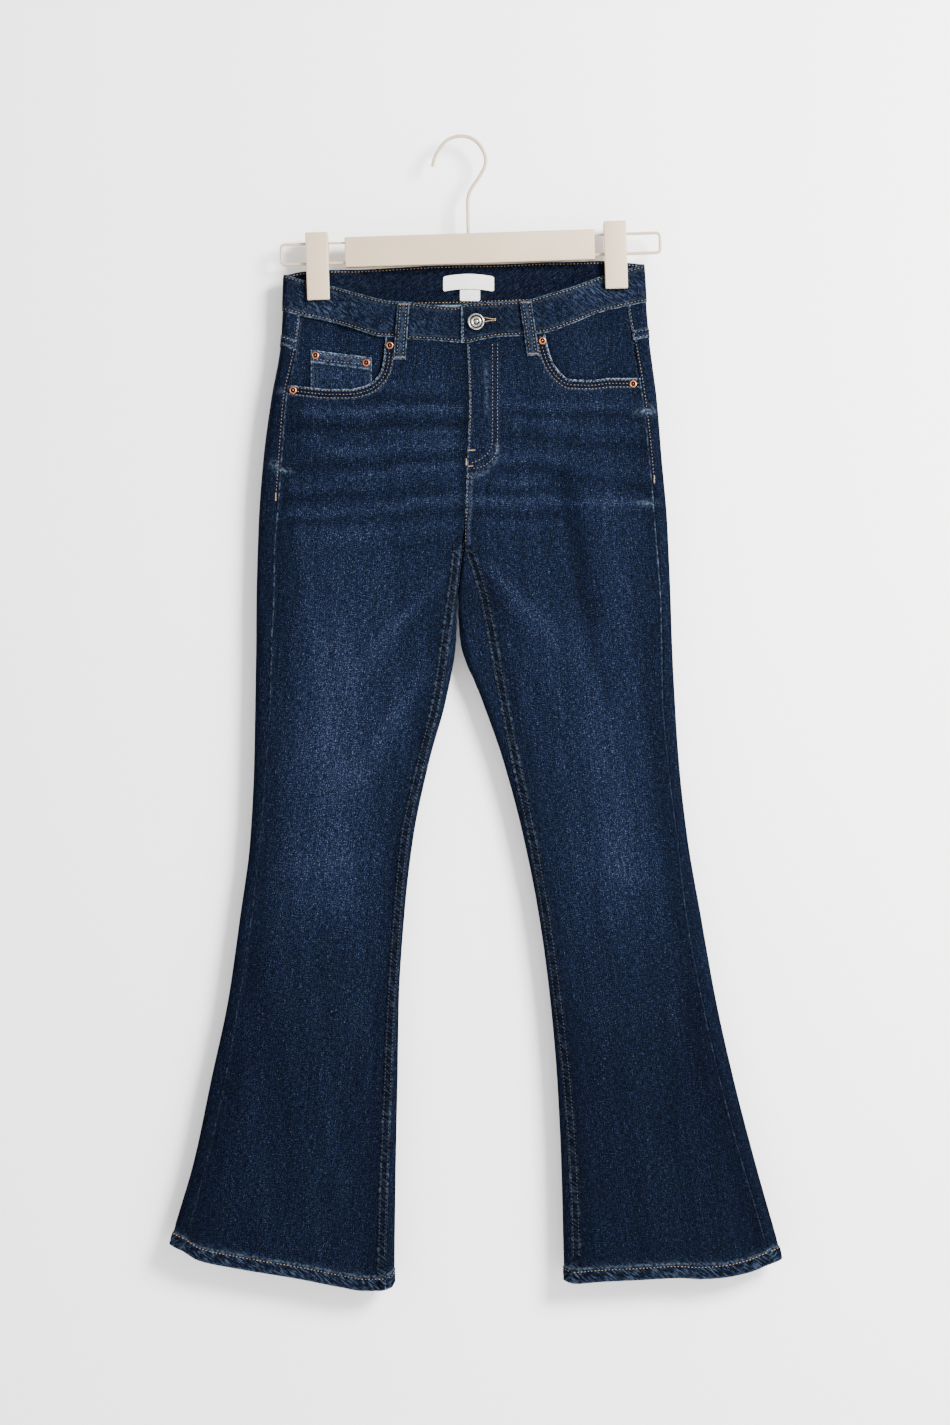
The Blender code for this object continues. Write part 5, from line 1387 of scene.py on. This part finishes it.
loop = {"wide": 12.4, "thick": 1.6, "bulge": 1.4, "gap": 0.5, "rows": 3.1, "bars": (4.0, 2.6)}
loopPlaces = {  # face, x at the top, x at the foot, z at the foot
    "front_right": ("front", -61.3, -65.5, -229.7), "front_left": ("front", 63.3, 71.6, -226.1),
    "back_right": ("back", -108.0, -110.0, -188.0), "back_left": ("back", 110.0, 112.0, -184.0),
    "back_centre": ("back", 2.6, 2.6, -189.0),
}


def makeBeltLoop(name, face, xTop, xFoot, foot):
    top = float(edgeZ("waistTop", xTop, face == "back"))
    t = np.linspace(0, 1, 56)
    t = (t - 0.05 * np.sin(2 * math.pi * t))[:, None]
    half = np.array([0, 0.1, 0.2, 0.27, 0.33, 0.4, 0.45, 0.485, 0.5])
    u = np.concatenate([-half[:0:-1], half])
    x = xTop + (xFoot - xTop) * t + u * loop["wide"]
    z = top - 0.6 + (foot - top + 0.6) * t + 0 * x
    share = np.clip((z - top) / (foot - top), 0, 1)
    bulge = loop["bulge"] * np.sin(math.pi * np.clip(share / 0.8, 0, 1)) ** 0.7
    bulge *= smooth(foot + 4.5, foot + 7, z)
    inset = (0.5 - abs(u)) * loop["wide"]
    ends = bell(top - z - loop["bars"][0], 1.3) + bell(z - foot - loop["bars"][1], 1.3)
    thick = loop["thick"] - 0.5 * bell(inset, 0.7) - 0.18 * bell(inset - 2.9, 0.8) - 0.3 * ends
    thick += 0.1 * uneven(z * 0.5, 2.0 + xTop) - 0.4 * bell(z - foot, 0.7)
    rub = 0.36 * bell(inset - 0.2, 0.7) + 0.08 * bell(inset - 6, 2)
    rub = rub + 0.36 * bell(z - foot, 1.0) + 0.24 * bell(z - top, 1.2)
    # darker along the two stitch rows as painted shade in their grooves; lighter down the loop's middle
    fade = 0.31 + 0.06 * bell(inset - 6.2, 1.6) - 0.12 * bell(inset - 2.9, 1.2)
    outside, normals = makePatch("belt_loop_" + name, "_cloth", face, x, z, loop["gap"] + bulge,
                                 thick, (fade, rub, 0.1), ["denim"])
    t = np.linspace(0.03, 0.97, 80)
    for across in (-loop["rows"], loop["rows"]):
        share = np.interp(across / loop["wide"], u, np.linspace(0, 1, len(u)))
        sewGrid("tan", outside, normals, 0 * t + share, t, 0.95)
    long = top - foot
    for place in (loop["bars"][0] / long, 1 - loop["bars"][1] / long):
        row = int(place * (len(z) - 1))
        bartack("tan", outside[row, 3:-3], normals[row, 3:-3], 1.3)


for name, place in loopPlaces.items():
    makeBeltLoop(name, *place)
print("belt loops made")

# ---- seams ----


stripEnds = {"right": (-181, -217, -370), "left": (-171, -210, -352)}  # heights at waist, yoke and bartack
mouthRows = (2.0, 5.6, 9.2)
flyRows = [  # the fly's double J
    [(34.9, -213), (34.9, -306), (34.3, -319.3), (31.4, -329.6), (27.3, -333.9), (21.1, -338.4),
     (14.9, -340.6), (9, -341.2)],
    [(29.8, -213), (29.8, -306), (29.4, -315), (26.4, -323.4), (22.5, -328), (17.5, -331.8), (12.9, -334),
     (7.6, -335.6)],
]


def sewSeams():
    for side in signs:
        sign = signs[side]
        sewAcross("gold", "front_" + side, (0, 1.5), (1, -1.5), hemLine(side), hem["stitch"])
        sewAcross("gold", "back_" + side, (0, 1.5), (3, -1.5), hemLine(side), hem["stitch"])
        for row in felled["rows"]:  # the felled inseam
            sewSeam("brown", "front_" + side, (1, -row), (-1150, -422))
        for row in felled["rows"]:
            sewAcross("tan", "yoke_" + side, (0, 2), (3, -1.5), edgeLine("yoke"), row)
        # edge stitch on the back panel's strip, down to a bartack
        waist, yoke, end = stripEnds[side]
        sewSeam("tan", "yoke_" + side, (0, 2.1), (-212, waist))
        sewSeam("tan", "back_" + side, (0, 2.1), (end + 2, yoke))
        x = float(legAt(side, "sideSeam", end)) + sign * 2.2
        bartackOver("gold", "front", x, end + 4, x, end - 4, 1.4)
        # three rows round the pocket mouth
        centre = (sign * 140, -215)
        for by in mouthRows:
            path = offsetPath(scoops[side], by, centre)
            seamX = legAt(side, "sideSeam", path[:, 1])
            path = [p for p, limit in zip(path, seamX) if abs(p[0]) < abs(limit) - 1.5
                    and p[1] < through(edges["waistSeamFront"], p[0]) - 1]
            sewOver("tan", "front", path)
    for row in felled["rows"]:
        sewSeam("tan", "back_left", (3, -row), (-416, -246))

    # the fly: a double J, a row beside its edge, and bartacks
    for path in flyRows:
        sewOver("tan", "front", smoothFlat(path))
    sewSeam("tan", "front_left", (1, -1.9), (-322, -214))
    for look, row in (("tan", 1.9), ("navy", 6.0)):
        sewSeam(look, "front_left", (1, -row), (-417, -344))
    bartackOver("gold", "front", 4.4, -322.8, 12, -322.4)
    bartackOver("gold", "front", 2.9, -331, 2.9, -338)
    bartackOver("gold", "front", 4.5, -339, 10, -338.6, 1.3)


def smoothFlat(points):  # a smooth line through (x, z) points
    p = np.array(points, float)
    run = lengthAlong(p[:, 0], p[:, 1])
    t = np.linspace(0, run[-1], 140)
    return list(zip(through(list(zip(run, p[:, 0])), t), through(list(zip(run, p[:, 1])), t)))


sewSeams()

buttonhole = {"from": 20.0, "to": 32.0, "z": -189.4, "half": 0.75}


def sewButtonhole():
    for side in (-1, 1):
        x = np.linspace(buttonhole["from"], buttonhole["to"], 30)
        z = buttonhole["z"] + side * (buttonhole["half"] + 1.5 * bell(x - buttonhole["from"], 6.0))
        points, normals = over("front", x, z, np.full(len(x), 0.1))
        bartack("gold", points, normals, 1.0, 0.52)
    x = buttonhole["to"] + 0.6
    bartackOver("gold", "front", x, buttonhole["z"] + 1.4, x, buttonhole["z"] - 1.4, 1.1)


sewButtonhole()
for look, bodies in sewn.items():
    if bodies:
        makeCopies("stitches_" + look, np.concatenate(bodies), stitchFaces, look, [])
        print("stitches", look, sum(len(b) for b in bodies))

# ---- rivets and button ----


def makeTurned(name, rings, sides, looksUsed, spot, normal, node, darkRings):
    deselect()
    bpy.ops.mesh.primitive_circle_add(
        vertices=sides, radius=rings[0][0], fill_type="NGON", location=(0, 0, 0))
    piece = bpy.context.object
    bpy.ops.object.mode_set(mode="EDIT")
    bpy.ops.mesh.select_all(action="SELECT")
    for (r0, h0), (r1, h1) in zip(rings, rings[1:]):
        bpy.ops.mesh.extrude_region_move(TRANSFORM_OT_translate={"value": (0, 0, h1 - h0)})
        bpy.ops.transform.resize(value=(r1 / r0, r1 / r0, 1))
    bpy.ops.mesh.select_all(action="SELECT")
    bpy.ops.mesh.normals_make_consistent(inside=False)
    bpy.ops.object.mode_set(mode="OBJECT")
    mesh = piece.data
    mesh.name = name
    turn = Vector(normal).to_track_quat("Z", "Y").to_matrix().to_4x4()
    dark = [p.index for p in mesh.polygons if p.center.z > 0.1
            and any(a < p.center.xy.length < b for a, b in darkRings)]
    mesh.transform(Matrix.Scale(mm, 4) @ Matrix.Translation(Vector(spot)) @ turn)
    shadeSmooth(mesh, 42)
    for k in dark:
        mesh.polygons[k].material_index = 1
    bpy.data.objects.remove(piece)
    finishPiece(name, mesh, looksUsed, [node])


rivets = {
    "side_right": (-175.1, -261.1), "mouth_right": (-75.7, -215.3), "coin_outer": (-152.4, -224.5),
    "coin_inner": (-99.9, -232.8), "mouth_left": (80.9, -210.6), "side_left": (174.1, -254.4),
}
rivetRings = [(3.9, 0), (3.9, 0.35), (3.75, 0.7), (3.4, 0.98), (2.9, 1.12), (2.45, 1.08), (2.15, 0.86),
              (2.0, 0.5), (1.9, 0.3), (1.25, 0.3), (1.15, 0.7), (0.95, 1.05), (0.6, 1.25), (0.2, 1.3)]
button = {"x": 12.9, "z": -191.6}
buttonRings = [(3.4, 0), (3.4, 0.9), (7.7, 1.15), (8.35, 1.5), (8.6, 2.0), (8.5, 2.5), (8.1, 2.95),
               (7.5, 3.15), (6.9, 3.1), (6.5, 2.85), (6.25, 2.45), (5.9, 2.35), (5.5, 2.6), (5.2, 3.0),
               (4.7, 3.3), (4.1, 3.4), (3.5, 3.25), (3.2, 2.9), (2.9, 2.55), (2.5, 2.5), (2.2, 2.8),
               (1.8, 3.1), (1.2, 3.25), (0.3, 3.3)]

# the dark rings in each rivet's hollow and in the button's grooves stand for oxide and painted shade
for name, (x, z) in rivets.items():
    onCoin = "coin" in name
    spot, normal = over("front", x, z, 0.12 if onCoin else 0.42, under=onCoin)
    makeTurned("rivet_" + name + "_metal", rivetRings, 28, ["copper", "copperDark"], spot, normal,
               "rivet_" + name, [(0.6, 2.45)])
spot, normal = over("front", button["x"], button["z"], 0.3)
makeTurned("button_metal", buttonRings, 48, ["nickel", "nickelDark"], spot, normal, "button",
           [(5.3, 6.7), (1.9, 3.2)])
print("hardware made")

# ---- labels ----

labelThick, labelGap = 0.5, 0.3
labels = {  # x and z ranges, how far under the inside of the waistband, how much the ends droop
    "main": ((-21.0, 31.4), (-138.8, -154.1), -2 * (labelGap + labelThick), 2.6),
    "size": ((-3.6, 17.0), (-150.5, -166.3), -labelGap - labelThick, 0.0),
}


def makeLabel(name, xs, zs, out, droop):
    x, z = np.meshgrid(np.linspace(*xs, 44), np.linspace(*zs, 22))
    half = (xs[1] - xs[0]) / 2
    fromEnd = np.minimum(x - xs[0], xs[1] - x)
    middle = (zs[0] + zs[1]) / 2
    z = middle + (z - middle) * (0.84 + 0.16 * rounding(fromEnd, 2.2))
    z -= droop * ((x - xs[0] - half) / half) ** 2
    thick = labelThick + 0.08 * uneven(x * 0.16 + z * 0.1, 2.0)
    if name == "main":
        thick += 0.35 * bell(fromEnd - 0.9, 1.0) - 0.3 * bell(fromEnd - 2.6, 0.6)
    out = out - (1.3 if name == "main" else 0.5) * bell(x - xs[0] - half, half * 0.75)
    makePatch("label_" + name, "_tape", "back", x, z, out, thick, (0, 0, 0), ["label"], under=True)


for name, values in labels.items():
    makeLabel(name, *values)

# ---- hanger ----

hanger = {"x": 6.4, "z": -114.2, "tilt": math.radians(1.84)}
bar = {"long": 257.0, "tall": 31.0, "deep": 10.0, "edge": 1.2}
hook = {"r": 1.8, "sink": 14.7}
hookPath = [(-32.0, -28.8), (-29.2, -19.0), (-24.6, -10.9), (-18.0, -3.2), (-9.5, 0.9), (0.0, 1.8),
            (9.8, -1.2), (18.0, -9.3), (22.6, -20.6), (21.3, -30.6), (14.7, -42.2), (8.2, -51.9),
            (4.6, -62.0), (4.4, -79.8), (4.9, -99.0)]
rail = {"r": 1.5, "apart": 20.4, "sink": 15.7, "corner": 4.0, "end": {"right": -194.3, "left": 196.0}}
clip = {"wide": 23.2, "tall": 69.5, "jaw": 4.6, "mouth": 8.8, "edge": 1.4, "solid": 36.0,
        "at": {"right": (-157.0, -13.8), "left": (149.6, -12.0)}}
bore = 0.3  # how far a bore stands off its wire
hangerPlace = (Matrix.Translation(Vector((hanger["x"], 0, hanger["z"])))
               @ Matrix.Rotation(-hanger["tilt"], 4, "Y"))


def makeRod(radius, start, end, sides=24):
    deselect()
    a, b = Vector(start), Vector(end)
    bpy.ops.mesh.primitive_cylinder_add(
        vertices=sides, radius=radius, depth=(b - a).length, location=(0, 0, 0))
    rod = bpy.context.object
    turn = (b - a).to_track_quat("Z", "Y").to_matrix().to_4x4()
    rod.data.transform(Matrix.Translation((a + b) / 2) @ turn)
    return rod


def cutAway(piece, cutter):
    deselect()
    cutting = piece.modifiers.new("bore", "BOOLEAN")
    cutting.object = cutter
    cutting.solver = "EXACT"
    bpy.context.view_layer.objects.active = piece
    bpy.ops.object.modifier_apply(modifier=cutting.name)
    bpy.data.objects.remove(cutter)


def finishHard(name, blocks, look, node, place=hangerPlace):
    deselect()
    for block in blocks:
        block.select_set(True)
    bpy.context.view_layer.objects.active = blocks[0]
    if len(blocks) > 1:
        bpy.ops.object.join()
    mesh = blocks[0].data
    mesh.name = name
    mesh.transform(Matrix.Scale(mm, 4) @ place)
    mesh.materials.clear()
    shadeSmooth(mesh, 38)
    bpy.data.objects.remove(blocks[0])
    finishPiece(name, mesh, [look], [node])


def makeWire(name, points, radius, node, place):
    curve = bpy.data.curves.new(name, "CURVE")
    curve.dimensions = "3D"
    curve.bevel_depth = radius
    curve.bevel_resolution = 5
    curve.use_fill_caps = True
    spline = curve.splines.new("POLY")
    spline.points.add(len(points) - 1)
    for k, point in enumerate(points):
        spline.points[k].co = (*point, 1)
        spline.points[k].radius = (0.55, 0.84, 0.97, 1.0)[min(k, 3)]  # the wire's end is rounded off
    wire = bpy.data.objects.new(name, curve)
    bpy.context.scene.collection.objects.link(wire)
    deselect()
    wire.select_set(True)
    bpy.context.view_layer.objects.active = wire
    bpy.ops.object.convert(target="MESH")
    finishHard(name, [bpy.context.object], "wire", node, place)


def smoothPath(points, step):
    p = np.array(points, float)
    ends = np.concatenate([[2 * p[0] - p[1]], p, [2 * p[-1] - p[-2]]])
    t = np.linspace(0, 1, 24, endpoint=False)[:, None]
    fine = []
    for k in range(len(p) - 1):
        a, b, c, d = ends[k:k + 4]
        fine.append(0.5 * (2 * b + (c - a) * t + (2 * a - 5 * b + 4 * c - d) * t ** 2
                           + (3 * b - 3 * c + d - a) * t ** 3))
    fine = np.concatenate(fine + [p[-1:]])
    run = lengthAlong(fine[:, 0], fine[:, 1])
    even = np.linspace(0, run[-1], round(run[-1] / step) + 1)
    return [(np.interp(s, run, fine[:, 0]), 0.0, np.interp(s, run, fine[:, 1])) for s in even]


def makeHanger():
    footX = hookPath[-1][0] - hanger["x"]
    block = makeBlock((bar["long"], bar["deep"], bar["tall"]), (0, 0, 0), bar["edge"], 4)
    top = bar["tall"] / 2
    cutAway(block, makeRod(hook["r"] + bore, (footX, 0, top - hook["sink"] - 1), (footX, 0, top + 9)))
    deep, past = bar["long"] / 2 - rail["sink"] - 0.6, bar["long"] / 2 + 9
    for sign in signs.values():
        for up in (rail["apart"] / 2, -rail["apart"] / 2):
            cutAway(block, makeRod(rail["r"] + bore, (sign * deep, 0, up), (sign * past, 0, up)))
    finishHard("hanger_bar_plastic", [block], "plastic", "hanger_bar")

    barTop = hanger["z"] + top + footX * math.tan(hanger["tilt"])
    tip = (hookPath[0][0] - 0.3, 0.0, hookPath[0][1] - 1.0)
    path = [tip, *smoothPath(hookPath, 1.6), (hookPath[-1][0], 0.0, barTop - hook["sink"])]
    makeWire("hanger_hook_wire", path, hook["r"], "hanger_hook", Matrix.Identity(4))

    for side, sign in signs.items():
        start, far = sign * (bar["long"] / 2 - rail["sink"]), rail["end"][side]
        half, corner = rail["apart"] / 2, rail["corner"]
        bend = [(far - sign * corner * (1 - math.sin(a)), half - corner * (1 - math.cos(a)))
                for a in np.linspace(0, math.pi / 2, 12)]
        straight = [(far - sign * corner + (start - far) * s, half) for s in (0.6, 0.3)]
        upper = [(start, half)] + straight + bend
        path = [(x, 0.0, z) for x, z in upper + [(x, -z) for x, z in reversed(upper)]]
        makeWire("hanger_rail_" + side + "_wire", path, rail["r"], "hanger_rail_" + side, hangerPlace)
        makeClip(side)


def makeClip(side):
    x, z = clip["at"][side]
    plate, gap = clip["jaw"], clip["mouth"]
    y = (gap + plate) / 2
    size = clip["wide"], plate, clip["tall"]
    pieces = [makeBlock(size, (x, way * y, z), clip["edge"], 4) for way in (-1, 1)]
    # the hinge body between the two plates, with a bore for each rail
    middle = z + clip["tall"] / 2 - 1.6 - clip["solid"] / 2
    body = makeBlock((clip["wide"] - 3.4, gap + 1.2, clip["solid"] - 3.4), (x, 0, middle), 0.8, 2)
    for up in (rail["apart"] / 2, -rail["apart"] / 2):
        cutAway(body, makeRod(rail["r"] + bore, (x - clip["wide"], 0, up), (x + clip["wide"], 0, up)))
    pieces.append(body)
    finishHard("clip_" + side + "_plastic", pieces, "plastic", "clip_" + side)


makeHanger()
print("hanger made")

# ---- triangles in the shown meshes ----


print("triangles", sum(len(p.vertices) - 2 for o in bpy.data.objects if o.type == "MESH" and o.visible_get()
                       for p in o.data.polygons))
